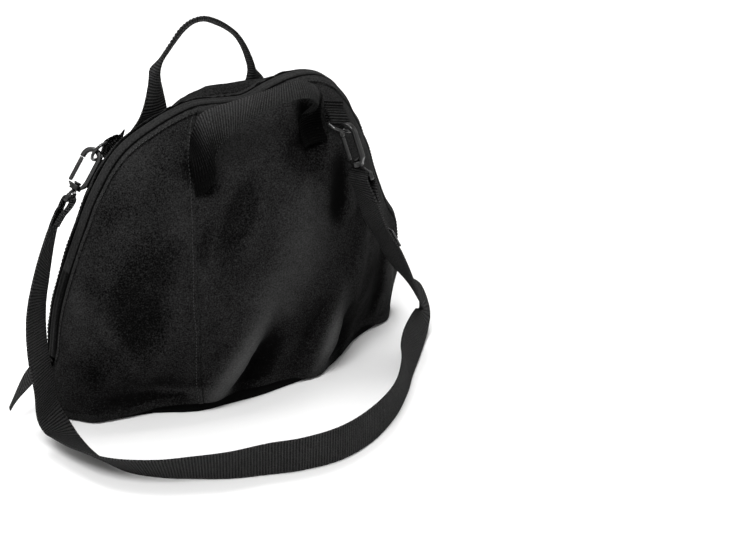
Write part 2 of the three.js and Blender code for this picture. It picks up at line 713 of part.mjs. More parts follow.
// The frame of one strap end: the tab on the cloth, the ring in it, and the hook that hangs from the ring
function anchorFrame(anchor) {
  const start = onShell(anchor.side, (anchor.x * bagWidth) / 2, anchor.z * bagHeight);
  const turn = anchor.turn * degrees;
  const outward = start.normal;
  const upward = up.clone().addScaledVector(outward, -outward.z).normalize();
  const sideways = upward.clone().cross(outward).multiplyScalar(anchor.side === front ? 1 : -1);
  const down = upward.multiplyScalar(Math.cos(turn)).addScaledVector(sideways, Math.sin(turn)).normalize();
  const across = down.clone().cross(outward).normalize();
  const barLift = gap + tabThick + gap + ringWire + tabRaise;
  const bar = start.point.clone().addScaledVector(down, tabLength).addScaledVector(outward, barLift);
  const lift = anchor.lift * degrees;
  const ringDown = down.clone().multiplyScalar(Math.cos(lift)).addScaledVector(outward, Math.sin(lift));
  const aim = vec(anchor.aim.x, anchor.aim.y, anchor.aim.z).normalize();
  const ringEnd = bar.clone().addScaledVector(ringDown, ringDepth);
  const strapBar = ringEnd.clone().addScaledVector(aim, hookLength - hookWire - ringWire - 8 * gap);
  const square = ({ x, y, z }) => vec(x, y, z).addScaledVector(aim, -aim.dot(vec(x, y, z))).normalize();
  const hookUp = aim.clone().negate();
  const matrix = (x) => new THREE.Matrix4().makeBasis(x, hookUp, x.clone().cross(hookUp)).setPosition(strapBar);
  const loopAcross = square(anchor.across);
  const spine = square(across.clone().cross(ringDown)).applyAxisAngle(aim, anchor.spin * degrees);
  return {
    outward, down, across, bar, ringDown, aim, strapBar, loopAcross,
    hookMatrix: matrix(spine),
    swivelMatrix: matrix(loopAcross),
  };
}

// A short tab: it runs from its sewn end to the ring, turns round the ring's bar and goes back under itself
function ringTab(frame) {
  const turnRadius = ringWire + gap + tabThick / 2;
  const stations = [];
  const add = (back, height) => {
    const middle = frame.bar.clone().addScaledVector(frame.down, -back).addScaledVector(frame.outward, height);
    stations.push({ middle, across: frame.across });
  };
  const layer = tabThick + gap;
  add(tabLength, -ringWire + 2.6);
  add(tabLength * 0.65, -ringWire + layer * 0.5);
  add(tabTail + 2, layer * 0.6);
  for (let i = 0; i <= 6; i++) {
    const angle = (i / 6) * Math.PI;
    add(-Math.sin(angle) * turnRadius, Math.cos(angle) * turnRadius);
  }
  add(tabTail, -turnRadius + 0.3);
  return strip(stations, tabWidth, tabThick);
}

// A round wire bent along a closed line in one plane
function wireLoop(centre, right, down, outline, radius, sides) {
  const normal = right.clone().cross(down).normalize();
  const place = ({ x, y }) => centre.clone().addScaledVector(right, x).addScaledVector(down, y);
  const points = outline.map(place);
  const rings = points.map((point, i) => {
    const before = points[(i + points.length - 1) % points.length];
    const after = points[(i + 1) % points.length];
    const along = after.clone().sub(before).normalize();
    const out = along.clone().cross(normal).normalize();
    const ring = [];
    for (let k = 0; k < sides; k++) {
      const angle = (k / sides) * 2 * Math.PI;
      ring.push(
        point.clone()
          .addScaledVector(out, Math.cos(angle) * radius)
          .addScaledVector(normal, Math.sin(angle) * radius),
      );
    }
    return ring;
  });
  return loft(rings, true);
}

function dRing(frame) {
  const half = tabWidth / 2 + ringWire + 1;
  const outline = [];
  for (const x of [-0.9, -0.3, 0.3, 0.9]) outline.push({ x: x * half, y: 0 });
  const bend = 12;
  for (let i = 0; i <= bend; i++) {
    const angle = (i / bend) * Math.PI;
    const y = ringDepth * Math.sin(angle) ** 0.75 + 2.5 * (1 - Math.sin(angle));
    outline.push({ x: half * Math.cos(angle), y });
  }
  return wireLoop(frame.bar, frame.across, frame.ringDown, outline, ringWire, ringSides);
}

// A flat outline made solid about its middle plane
function plate(outline, thick, bevel) {
  const shape = new THREE.Shape(outline.map(([x, y]) => new THREE.Vector2(x, y)));
  const settings = {
    depth: thick - 2 * bevel,
    bevelEnabled: bevel > 0,
    bevelThickness: bevel,
    bevelSize: bevel,
    bevelOffset: -bevel,
    bevelSegments: 1,
  };
  return new THREE.ExtrudeGeometry(shape, settings).translate(0, 0, -thick / 2 + bevel);
}

function arc(x, y, radius, from, to, steps) {
  const points = [];
  for (let i = 0; i <= steps; i++) {
    const angle = mix(from, to, i / steps) * degrees;
    points.push([x + radius * Math.cos(angle), y + radius * Math.sin(angle)]);
  }
  return points;
}

const barTop = loopBar / 2;
const shoulder = barTop + loopSlot; // top of the loop's slot
const loopTop = shoulder + 3;
const barrelBottom = loopTop + gap + 0.4;
const barrelTop = barrelBottom + 5.5;
const eyeBottom = barrelTop + 2; // lower end of the space inside the hook
const headHeight = 2;
const bowMiddle = hookLength - hookWidth / 2;
const noseEnd = bowMiddle - 3;
const gateX = -hookWidth / 2 + gateWidth / 2 + 0.6;
const gatePivot = barrelTop + gateWidth / 2 + gap + 0.5;

function hookBody() {
  const half = hookWidth / 2;
  const inner = half - hookWire;
  const outline = [
    [-barrelRadius, barrelBottom + 2],
    [barrelRadius, barrelBottom + 2],
    [half, eyeBottom + 1],
    ...arc(0, bowMiddle, half, 0, 180, 12),
    [-half, noseEnd],
    [-inner, noseEnd],
    ...arc(0, bowMiddle, inner, 180, 0, 10),
    [inner, eyeBottom + 4],
    [barrelRadius - 1.5, barrelTop],
    [-half + 1.5, barrelTop],
  ];
  const barrel = new THREE.CylinderGeometry(barrelRadius, barrelRadius, barrelTop - barrelBottom, 14);
  barrel.translate(0, (barrelTop + barrelBottom) / 2, 0);
  const bore = new THREE.CylinderGeometry(postRadius + gap, postRadius + gap, barrelTop, 12);
  bore.translate(0, barrelTop / 2 + barrelBottom - 4, 0);
  return fuse([plate(outline, hookThick, 0.9), barrel], [bore]);
}

function hookGate() {
  const half = gateWidth / 2;
  const top = noseEnd - gap - 0.1;
  const outline = [
    ...arc(gateX, gatePivot, half, 180, 360, 6),
    [gateX + half, top - 1],
    [gateX + half - 1, top],
    [gateX - half, top],
  ];
  return plate(outline, hookThick - 2, 0.5);
}

function hookSwivel() {
  const half = webWidth / 2 + gap + 0.4;
  const outer = half + 3.6;
  const outline = [
    [-outer + 1.5, -barTop],
    [outer - 1.5, -barTop],
    [outer, 0],
    [outer, shoulder - 1],
    [postRadius + 5, loopTop],
    [-postRadius - 5, loopTop],
    [-outer, shoulder - 1],
    [-outer, 0],
  ];
  const slot = [
    [-half, barTop],
    [half, barTop],
    [half, shoulder - 1.5],
    [half - 2, shoulder],
    [-half + 2, shoulder],
    [-half, shoulder - 1.5],
  ];
  const postTop = barrelTop + gap + 0.4 + headHeight;
  const post = new THREE.CylinderGeometry(postRadius, postRadius, postTop - shoulder - 2, 12);
  post.translate(0, (postTop + shoulder + 2) / 2, 0);
  const head = new THREE.CylinderGeometry(postRadius + 1.2, postRadius + 1.2, headHeight, 12);
  head.translate(0, postTop - headHeight / 2, 0);
  return fuse([plate(outline, loopBar, 0.7), post, head], [plate(slot, 2 * loopBar, 0)]);
}

// The end of the strap: a tail under it, a turn round the hook's bar, and the first stretch away from the hook
function strapEnd(frame, tail) {
  const turnRadius = loopBar * 0.74 + gap + webThick / 2;
  const across = frame.loopAcross;
  const face = frame.aim.clone().cross(across).normalize();
  const place = (away, height) => ({
    middle: frame.strapBar.clone().addScaledVector(frame.aim, away).addScaledVector(face, height),
    across,
  });
  const stations = [
    place(tail, -webThick * 0.7),
    place(tail * 0.55, -webThick),
    place(9, -turnRadius + 0.6),
    place(3.5, -turnRadius),
  ];
  for (let i = 0; i <= 6; i++) {
    const angle = (i / 6) * Math.PI;
    stations.push(place(-Math.sin(angle) * turnRadius, -Math.cos(angle) * turnRadius));
  }
  stations.push(place(3.5, turnRadius), place(10, turnRadius - 0.6), place(24, webThick * 0.7 + 0.4));
  return { stations, face };
}

function strapStations(ends) {
  const edges = strapRoute.map((row) => ({
    edge: vec((row.x * bagWidth) / 2, row.y * strapReach, row.z * bagHeight + gap),
    across: vec(row.acrossX, row.acrossY, row.acrossZ),
  }));
  const route = edges.map(({ edge, across }, i) => {
    const before = edges[Math.max(i - 1, 0)].edge;
    const after = edges[Math.min(i + 1, edges.length - 1)].edge;
    const along = after.clone().sub(before).normalize();
    const square = across.clone().addScaledVector(along, -across.dot(along)).normalize();
    return { middle: edge.clone().addScaledVector(square, webWidth / 2), across: square };
  });
  return [...ends.front.stations, ...route, ...ends.rear.stations.reverse()];
}

function refineStrip(stations, step) {
  const flat = stations.map((p) => ({ ...p, fold: 0 }));
  return refine(flat, step).map(({ middle, across }) => ({ middle, across }));
}

// The slider under the strap: a frame with a middle bar, below one row of the strap's route
function strapSlider(stations, row) {
  const half = webWidth / 2 + gap + 0.5;
  const outer = half + 3;
  const reach = strapSliderLength / 2;
  const outline = [[-outer, -reach], [outer, -reach], [outer, reach], [-outer, reach]];
  const opening = (from, to) => [[-half, from], [half, from], [half, to], [-half, to]];
  const holes = [opening(-reach + 3, -2.2), opening(2.2, reach - 3)].map((hole) => plate(hole, 6, 0));
  const { middle, across } = stations[row];
  const along = stations[row + 1].middle.clone().sub(stations[row - 1].middle).normalize();
  const sideways = across.clone().addScaledVector(along, -across.dot(along)).normalize();
  const below = sideways.clone().cross(along);
  const matrix = new THREE.Matrix4().makeBasis(sideways, along, below);
  const place = middle.clone().addScaledVector(below, webThick / 2 + strapSliderThick / 2 + 4 * gap);
  matrix.setPosition(place.addScaledVector(along, -sliderBack).addScaledVector(sideways, -sliderSlack));
  return fuse([plate(outline, strapSliderThick, 0.5)], holes).applyMatrix4(matrix);
}

// The slider at the zip's right end: plates above and below the coil joined by a post past the coil's end
function sliderFrame() {
  const share = 1 - (sliderLength * 1.3) / zipLength;
  const along = zipCurve.getTangentAt(share);
  const out = vec(-along.z, 0, along.x);
  const depth = tapeDepth(front, Math.cbrt((2 * share - 1) * 0.999)) + tapeThick / 2;
  return new THREE.Matrix4().makeBasis(vec(0, 1, 0), along, out.clone()).setPosition(zipPlace(share, 0, depth));
}

function zipSlider() {
  const half = sliderWidth / 2;
  const reach = sliderLength / 2;
  const outline = [
    [-half * 0.7, -reach],
    [half * 0.7, -reach],
    [half, reach * 0.3],
    [half * 0.6, reach],
    [-half * 0.6, reach],
    [-half, reach * 0.3],
  ];
  const clear = coilHeight / 2 + 2.2 * gap;
  const upper = plate(outline, sliderPlate, 0.25).translate(0, 0, clear + sliderPlate / 2);
  const narrow = outline.map(([x, y]) => [x * 0.5, y]);
  const lower = plate(narrow, sliderPlate, 0.25).translate(0, 0, -clear - sliderPlate / 2);
  const post = new THREE.BoxGeometry(2.4, 3, 2 * clear + sliderPlate).translate(0, reach - 2, 0);
  const bail = [-1, 1].map((end) =>
    new THREE.BoxGeometry(1.6, 1.6, 3).translate(0, end * 3, clear + sliderPlate + 1.3),
  );
  const bridge = new THREE.BoxGeometry(1.6, 7.6, 1.2).translate(0, 0, clear + sliderPlate + 3.2);
  return fuse([upper, lower, post, ...bail, bridge]);
}

// The pull hangs down from the slider's bridge
const pullerPivot = coilHeight / 2 + 2.2 * gap + sliderPlate + 1.3;

function zipPuller() {
  const half = pullerWidth / 2;
  const end = pullerLength - 1.6;
  const outline = [
    [-half + 1, -1.6],
    [half - 1, -1.6],
    [half, -0.6],
    [half, 6],
    [half - 1.2, end - 1.4],
    [half - 2.2, end],
    [-half + 2.2, end],
    [-half + 1.2, end - 1.4],
    [-half, 6],
    [-half, -0.6],
  ];
  const eye = [[-1.2, 0.4], [1.2, 0.4], [1.2, 5.2], [-1.2, 5.2]];
  return fuse([plate(outline, pullerThick, 0.3)], [plate(eye, 3 * pullerThick, 0)]);
}

// The woven tab at the zip's left end: a narrow leaf that leaves between the panels and droops
function zipEndTab() {
  const start = zipPlace(0, 0, tapeDepth(front, -1) + tapeThick / 2).add(vec(0, 0, -gap - tapeThick));
  const knee = start.clone().add(vec(-0.35, 0.08, -0.06).multiplyScalar(endTabLength));
  const tip = start.clone().add(vec(-0.66, 0.33, -0.88).multiplyScalar(endTabLength));
  const curve = new THREE.QuadraticBezierCurve3(start, knee, tip);
  const rings = [];
  const steps = 12;
  for (let i = 0; i <= steps; i++) {
    const share = i / steps;
    const along = curve.getTangent(share);
    const across = vec(0.3 * share, 1, 0);
    across.addScaledVector(along, -across.dot(along)).normalize();
    const leaf = Math.sin(Math.PI * Math.min(1, share * 0.92 + 0.04)) ** 2;
    const width = endTabWidth * mix(0.24, 1, leaf);
    rings.push(flatRing(curve.getPoint(share), across, across.clone().cross(along), width, tapeThick));
  }
  return loft(rings);
}

const cloth = new THREE.MeshStandardMaterial({ color: clothColour, roughness: 0.85, metalness: 0 });
const web = new THREE.MeshStandardMaterial({ color: webColour, roughness: 0.8, metalness: 0 });
const plastic = new THREE.MeshStandardMaterial({ color: plasticColour, roughness: 0.4, metalness: 0 });
const metal = new THREE.MeshStandardMaterial({ color: metalColour, roughness: 0.3, metalness: 1 });

const bag = new THREE.Group();

function add(name, geometry, material, matrix) {
  const mesh = new THREE.Mesh(geometry, material);
  mesh.name = name;
  if (matrix) mesh.applyMatrix4(matrix);
  bag.add(mesh);
}

add("front_panel", panel(front, seamPlace + seamGap, 1, panelRows, 1), cloth);
add("front_side_panel", panel(front, -1, seamPlace - seamGap, panelRows, 1), cloth);
add("back_panel", panel(rear, -1, 1, rearRows, 2), cloth);
add("base_panel", basePanel(), cloth);

add("zip_tape_front", zipTape(front, 1), web);
add("zip_tape_rear", zipTape(rear, 2), web);
add("zip_coil", zipCoil(), plastic);
add("zip_slider", zipSlider(), metal, sliderFrame());
const pullerPlace = sliderFrame().multiply(new THREE.Matrix4().makeTranslation(0, 0.2, pullerPivot));
add("zip_puller", zipPuller(), metal, pullerPlace);
add("zip_end_tab", zipEndTab(), web);

const frontFoot = { centre: frontHandleMiddle, span: frontHandleSpan, top: 0.925 * bagHeight };
const rearFoot = { centre: rearHandleMiddle, span: rearHandleSpan, top: 0.945 * bagHeight };
const frontLeg = { rise: frontHandleRise, lean: 30, tilt: 37 };
const rearLeg = { rise: rearHandleRise, lean: -2, tilt: 15 };
add("front_handle", handle(front, frontArch, frontFoot, frontLeg), web);
add("rear_handle", handle(rear, rearArch, rearFoot, rearLeg), web);

const ends = {};
for (const [place, anchor] of Object.entries(anchors)) {
  const frame = anchorFrame(anchor);
  add(place + "_ring_tab", ringTab(frame), web);
  add(place + "_d_ring", dRing(frame), plastic);
  add(place + "_hook", hookBody(), plastic, frame.hookMatrix);
  add(place + "_hook_gate", hookGate(), plastic, frame.hookMatrix);
  add(place + "_hook_swivel", hookSwivel(), plastic, frame.swivelMatrix);
  ends[place] = strapEnd(frame, strapTail);
}
const sliderRow = ends.front.stations.length + 1;
const strapLine = strapStations(ends);
add("strap_slider", strapSlider(strapLine, sliderRow), plastic);
add("shoulder_strap", strip(refineStrip(strapLine, strapStep), webWidth, webThick), web);

export default bag;
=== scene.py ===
from math import cos, pi, radians, sin

import bpy
import numpy as np
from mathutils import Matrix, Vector, noise


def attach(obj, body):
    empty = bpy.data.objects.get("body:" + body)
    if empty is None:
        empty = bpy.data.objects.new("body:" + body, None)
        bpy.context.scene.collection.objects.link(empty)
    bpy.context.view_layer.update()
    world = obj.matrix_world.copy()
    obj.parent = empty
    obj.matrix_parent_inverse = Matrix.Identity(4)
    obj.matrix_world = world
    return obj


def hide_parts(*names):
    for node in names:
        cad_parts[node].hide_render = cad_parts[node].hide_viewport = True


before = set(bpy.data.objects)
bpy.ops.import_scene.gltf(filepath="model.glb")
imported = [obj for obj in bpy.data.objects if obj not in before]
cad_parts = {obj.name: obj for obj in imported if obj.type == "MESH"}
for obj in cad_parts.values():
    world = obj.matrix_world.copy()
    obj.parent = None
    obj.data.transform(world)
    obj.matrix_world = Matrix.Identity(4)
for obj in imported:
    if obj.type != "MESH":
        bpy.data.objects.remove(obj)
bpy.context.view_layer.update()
bpy.ops.object.select_all(action="DESELECT")

# The bag's body, in metres, as the CAD has it
bag = {
    "width": 0.412, "height": 0.307, "baseWidth": 0.392,
    "frontDepth": 0.086, "rearDepth": 0.078, "zipEnd": 0.077,
    "seamHalf": 0.0004, "seamPlace": -0.47, "sideBulge": 0.008,
    "rearCrown": 0.024, "crownPlace": 0.04, "crownReach": 0.125,
    "rimHeight": 0.015, "zipHalf": 0.009, "clothThick": 0.0017, "floorGap": 0.0005,
    "topLean": 0.33, "frontSkew": 0.03, "rearLift": 0.05,
}
# Where its shapes start and stop, as shares of the height or of half the width
reach = {
    "bulgeFrom": 0.5, "crownFrom": 0.7, "crownFull": 0.93, "bodyFull": 0.35, "zipFrom": 0.72,
    "zipEnds": 0.96, "zipNarrower": 0.3, "foldEnds": 0.9, "foldFrom": 0.84, "foldTo": 0.98,
}
# x of half the width, z from the zip's ends to its top
zipLine = [
    (-1, 0), (-0.95, 0.25), (-0.802, 0.573), (-0.703, 0.743), (-0.568, 0.889), (-0.377, 0.969),
    (-0.163, 1.01), (0.017, 0.985), (0.143, 0.969), (0.265, 0.995), (0.394, 1.012), (0.53, 0.997),
    (0.631, 0.938), (0.708, 0.841), (0.786, 0.697), (0.854, 0.522), (0.937, 0.293), (1, 0.185),
    (1.025, 0),
]
# at, depth of the hem, depth of the body, as shares of half the width and of the depth
frontPlan = [
    (-1, 0, 0), (-0.966, 0.12, 0.14), (-0.895, 0.32, 0.36), (-0.745, 0.45, 0.6), (-0.59, 0.57, 0.78),
    (-0.485, 0.74, 0.87), (-0.36, 0.86, 0.95), (-0.2, 0.94, 1), (0, 0.98, 1.02), (0.25, 0.97, 1.02),
    (0.4, 0.92, 0.96), (0.53, 0.77, 0.86), (0.66, 0.56, 0.74), (0.82, 0.42, 0.52), (0.93, 0.34, 0.3),
    (0.985, 0.24, 0.13), (1, 0, 0),
]
rearPlan = [
    (-1, 0, 0), (-0.96, 0.16, 0.17), (-0.85, 0.36, 0.42), (-0.6, 0.66, 0.78), (-0.3, 0.9, 0.97),
    (0.05, 1, 1.03), (0.35, 0.93, 0.97), (0.65, 0.68, 0.75), (0.87, 0.38, 0.42), (0.96, 0.17, 0.17),
    (1, 0, 0),
]
# at, fullness of the front, fullness of the rear
fullness = [
    (0, 0.95, 0.93), (0.12, 0.99, 0.98), (0.25, 1, 1), (0.45, 0.94, 0.97), (0.65, 0.81, 0.88),
    (0.8, 0.61, 0.7), (0.9, 0.38, 0.46), (1, 0, 0),
]
# at, how far the front hem is lifted, as a share of the base's rim
hemLift = [
    (-1, 0.05), (-0.75, 0.2), (-0.45, 0.78), (-0.1, 0.96), (0.12, 0.66), (0.28, 0.1), (0.5, 0.4),
    (0.72, 0.85), (0.88, 0.15), (1, 0.05),
]
front, rear = -1, 1
# Broad folds: side, x of half the width, z of the height, turn, then length, width and rise of the height
folds = [
    (front, -0.2, 0.18, -33, 0.24, 0.04, 0.022), (front, -0.08, 0.15, -36, 0.2, 0.05, -0.02),
    (front, 0.37, 0.13, -27, 0.16, 0.045, 0.018), (front, 0.5, 0.12, -20, 0.14, 0.05, -0.016),
    (front, 0.89, 0.23, -5, 0.16, 0.035, 0.02), (front, 0.76, 0.24, -8, 0.2, 0.05, -0.018),
    (front, -0.1, 0.67, -35, 0.17, 0.045, -0.016), (front, 0.34, 0.8, 5, 0.1, 0.06, -0.022),
    (front, -0.58, 0.1, 90, 0.16, 0.04, -0.014), (front, -0.62, 0.5, -20, 0.3, 0.09, -0.014),
    (front, 0.1, 0.42, -40, 0.34, 0.1, 0.014), (rear, -0.35, 0.25, 30, 0.24, 0.05, -0.02),
    (rear, 0.4, 0.22, -25, 0.22, 0.05, -0.02), (rear, 0.05, 0.55, 60, 0.26, 0.08, -0.016),
]
# Finer creases laid over them, in the same way
creases = [
    (front, -0.19, 0.17, -34, 0.22, 0.03, 0.016), (front, -0.1, 0.14, -36, 0.16, 0.035, -0.012),
    (front, 0.36, 0.14, -27, 0.15, 0.03, 0.014), (front, 0.46, 0.12, -24, 0.12, 0.03, -0.012),
    (front, -0.3, 0.62, -20, 0.12, 0.022, -0.008), (front, -0.36, 0.55, 15, 0.1, 0.02, 0.005),
    (front, 0.42, 0.84, 20, 0.06, 0.03, -0.02), (front, 0.3, 0.7, -15, 0.12, 0.03, 0.006),
    (front, 0.62, 0.55, -12, 0.16, 0.03, -0.008), (front, 0.6, 0.35, -14, 0.2, 0.025, 0.006),
    (front, 0.03, 0.1, -40, 0.12, 0.02, 0.006), (front, -0.42, 0.12, 6, 0.14, 0.018, 0.005),
    (front, 0.22, 0.2, -32, 0.14, 0.022, -0.005), (front, -0.75, 0.3, 25, 0.16, 0.03, 0.008),
    (front, -0.86, 0.2, 12, 0.14, 0.025, -0.007), (front, -0.7, 0.75, -40, 0.1, 0.03, -0.006),
    (front, -0.55, 0.82, -55, 0.08, 0.022, 0.005), (front, 0.8, 0.12, -6, 0.1, 0.02, 0.006),
    (front, -0.9, 0.45, 5, 0.12, 0.02, 0.005), (front, 0.7, 0.75, -30, 0.1, 0.025, 0.005),
    (rear, 0.2, 0.93, 70, 0.1, 0.02, -0.012), (rear, -0.1, 0.92, 20, 0.07, 0.02, 0.01),
    (rear, 0.02, 0.9, 10, 0.06, 0.016, -0.01), (rear, -0.3, 0.9, -60, 0.08, 0.02, -0.008),
    (rear, -0.6, 0.4, 15, 0.16, 0.03, 0.008), (rear, 0.65, 0.45, -15, 0.16, 0.03, 0.008),
    (rear, 0.1, 0.3, -50, 0.2, 0.03, 0.008), (rear, -0.1, 0.15, 30, 0.14, 0.025, -0.008),
    (rear, 0.75, 0.15, -8, 0.1, 0.02, -0.006), (rear, 0.3, 0.7, 40, 0.14, 0.025, -0.006),
]
# Pale ridges of the folds, a painted highlight, in the same way
ridgeHighlights = [
    (front, -0.2, 0.17, -34, 0.2, 0.024, 0.012), (front, 0.35, 0.15, -26, 0.15, 0.022, 0.012),
    (front, -0.52, 0.1, 82, 0.2, 0.02, 0.006), (front, 0.86, 0.2, -6, 0.14, 0.02, 0.006),
]
# Dents under the front handle's feet and beside the strap, darkened with painted shade: x, z, turn, length,
# width, depth, how much painted shade darkens them
dents = [
    (0.082, 0.272, -8, 0.021, 0.0105, 0.013, 2.6), (-0.052, 0.252, 12, 0.02, 0.011, 0.006, 1.6),
    (0.102, 0.203, -16, 0.034, 0.012, 0.005, 2.4),
]


def smoothStep(a, b, x):
    t = np.clip((x - a) / (b - a), 0, 1)
    return t * t * (3 - 2 * t)


def mix(a, b, t):
    return a + (b - a) * t


# A table's column as a smooth curve that doesn't overshoot, ready to be read by its places
def tableCurve(rows, column=1):
    at = [row[0] for row in rows]
    value = [row[column] for row in rows]
    slope = [(value[i + 1] - value[i]) / (at[i + 1] - at[i]) for i in range(len(rows) - 1)]
    tangent = [slope[0]]
    for before, after in zip(slope, slope[1:]):
        tangent.append(0 if before * after <= 0 else 2 * before * after / (before + after))
    tangent.append(slope[-1])
    xs, ys = [], []
    for i in range(len(rows) - 1):
        wide = at[i + 1] - at[i]
        for u in np.linspace(0, 1, 24, endpoint=i == len(rows) - 2):
            cubic = 2 * value[i] - 2 * value[i + 1] + wide * (tangent[i] + tangent[i + 1])
            square = 3 * value[i + 1] - 3 * value[i] - wide * (2 * tangent[i] + tangent[i + 1])
            xs.append(at[i] + u * wide)
            ys.append(((cubic * u + square) * u + wide * tangent[i]) * u + value[i])
    return np.array(xs), np.array(ys)


curves = {
    "frontHem": tableCurve(frontPlan, 1), "frontBody": tableCurve(frontPlan, 2),
    "rearHem": tableCurve(rearPlan, 1), "rearBody": tableCurve(rearPlan, 2),
    "frontFull": tableCurve(fullness, 1), "rearFull": tableCurve(fullness, 2),
    "hemLift": tableCurve(hemLift),
}


def readCurve(name, at):
    return np.interp(at, *curves[name])


# Points on a smooth line through others; a place counts the given points
def smoothLine(points, places):
    p = np.asarray(points, float)
    ends = np.vstack([2 * p[0] - p[1], p, 2 * p[-1] - p[-2]])
    i = np.clip(np.floor(places).astype(int), 0, len(p) - 2)
    w = (places - i)[:, None]
    p0, p1, p2, p3 = ends[i], ends[i + 1], ends[i + 2], ends[i + 3]

    def step(a, b):
        return np.maximum(np.linalg.norm(b - a, axis=1, keepdims=True) ** 0.5, 1e-6)

    d0, d1, d2 = step(p0, p1), step(p1, p2), step(p2, p3)
    t1 = ((p1 - p0) / d0 - (p2 - p0) / (d0 + d1) + (p2 - p1) / d1) * d1
    t2 = ((p2 - p1) / d1 - (p3 - p1) / (d1 + d2) + (p3 - p2) / d2) * d1
    return p1 + t1 * w + (3 * p2 - 3 * p1 - 2 * t1 - t2) * w**2 + (2 * p1 - 2 * p2 + t1 + t2) * w**3


# The way along a line of points, from nought at its start
def runAlong(line):
    return np.concatenate([[0], np.cumsum(np.linalg.norm(np.diff(line, axis=0), axis=1))])


def zipTable():
    points = [
        (x * bag["width"] / 2, mix(bag["zipEnd"], bag["height"], z)) for x, z in zipLine
    ]
    line = smoothLine(points, np.linspace(0, len(points) - 1, 1801))
    run = runAlong(line)
    return run / run[-1], line, run[-1]


zipShare, zipPoints, zipLength = zipTable()


def zipAt(share):
    share = np.clip(share, 0, 1)
    return np.interp(share, zipShare, zipPoints[:, 0]), np.interp(share, zipShare, zipPoints[:, 1])


def zipOut(share):
    x0, z0 = zipAt(np.asarray(share) - 0.004)
    x1, z1 = zipAt(np.asarray(share) + 0.004)
    length = np.hypot(x1 - x0, z1 - z0)
    return (x1 - x0) / length, (z1 - z0) / length


def columnTop(side, s):
    lean = bag["topLean"]
    skew = bag["frontSkew"] if side == front else 0
    return np.clip(0.5 + 0.5 * (lean * s + (1 - lean) * s**3 + skew * (1 - s * s)), 0, 1)


def foldHeight(rows, side, x, z):
    height = np.zeros_like(x)
    for foldSide, atX, atZ, turn, length, width, rise in rows:
        if foldSide != side:
            continue
        dx = x - atX * bag["width"] / 2
        dz = z - atZ * bag["height"]
        c, n = cos(radians(turn)), sin(radians(turn))
        along = (dz * c - dx * n) / (length * bag["height"])
        across = (dx * c + dz * n) / (width * bag["height"])
        height += rise * bag["height"] * np.exp(-(across**2) - (1.4 * along) ** 2)
    return height


# The folds die out below the zip
def foldCalm(t):
    return 1 - smoothStep(reach["foldFrom"], reach["foldTo"], t)


# The body's outer face: s from the left (-1) to the right (1), t from the floor (0) to the zip (1)
def shell(side, s, t):
    s, t = np.broadcast_arrays(np.asarray(s, float), np.asarray(t, float))
    name = "front" if side == front else "rear"
    share = columnTop(side, s)
    topX, topZ = zipAt(share)
    bulgeEnds = smoothStep(reach["bulgeFrom"], 1, abs(s))
    bulge = np.sign(s) * bag["sideBulge"] * np.sin(pi * t) ** 2 * bulgeEnds
    x = mix(bag["baseWidth"] / 2 * s, topX, t) + bulge
    fromCrown = x - bag["crownPlace"] * bag["width"]
    swell = np.exp(-((fromCrown / (bag["crownReach"] * bag["width"])) ** 2))
    crown = bag["rearCrown"] * swell * smoothStep(reach["crownFrom"], reach["crownFull"], t)
    crown = crown * (1 - smoothStep(reach["crownFull"], 1, t))
    z = topZ * t + (crown if side == rear else 0)
    bodyShare = smoothStep(0, reach["bodyFull"], t)
    lens = mix(readCurve(name + "Hem", s), readCurve(name + "Body", s), bodyShare)
    depth = bag[name + "Depth"] * readCurve(name + "Full", t)
    zipEnds = smoothStep(reach["zipEnds"], 1, abs(2 * share - 1)) * reach["zipNarrower"]
    edge = mix(bag["seamHalf"], bag["zipHalf"], smoothStep(reach["zipFrom"], 1, t) * (1 - zipEnds))
    inside = 1 - smoothStep(reach["foldEnds"], 1, abs(s))
    fold = foldHeight(folds, side, x, z) * foldCalm(t) * inside
    return np.stack([x, side * (edge + lens * depth + fold), z], axis=-1)


def unit(v):
    return v / np.maximum(np.linalg.norm(v, axis=-1, keepdims=True), 1e-9)


print("tables ready")

# Camera, light and floor

view = {
    "target": (0.1502, -0.047, 0.0867), "back": (-0.4997, -0.7137, 0.4909),
    "distance": 2.6, "lens": 119.5,
    "world": 0.5, "floorTone": 0.93, "floorSize": 14,
}


def makeCamera():
    bpy.ops.object.camera_add()
    camera = bpy.context.object
    camera.name = "camera"
    back = Vector(view["back"]).normalized()
    camera.location = Vector(view["target"]) + back * view["distance"]
    camera.rotation_euler = (-back).to_track_quat("-Z", "Y").to_euler()
    camera.data.lens = view["lens"]
    camera.data.clip_end = 50
    bpy.context.scene.camera = camera


lamps = {
    "key": {"at": (-1.1, -1.0, 2.2), "size": 0.9, "power": 46},
    "top": {"at": (0.2, 0.7, 2.4), "size": 1.3, "power": 44},
    "side": {"at": (1.9, -0.9, 0.9), "size": 1.0, "power": 3},
}


def makeLamps():
    for name, lamp in lamps.items():
        bpy.ops.object.light_add(type="AREA", location=lamp["at"])
        light = bpy.context.object
        light.name = name + "Lamp"
        aim = Vector((0, 0, 0.12)) - light.location
        light.rotation_euler = aim.to_track_quat("-Z", "Y").to_euler()
        light.data.size = lamp["size"]
        light.data.energy = lamp["power"]


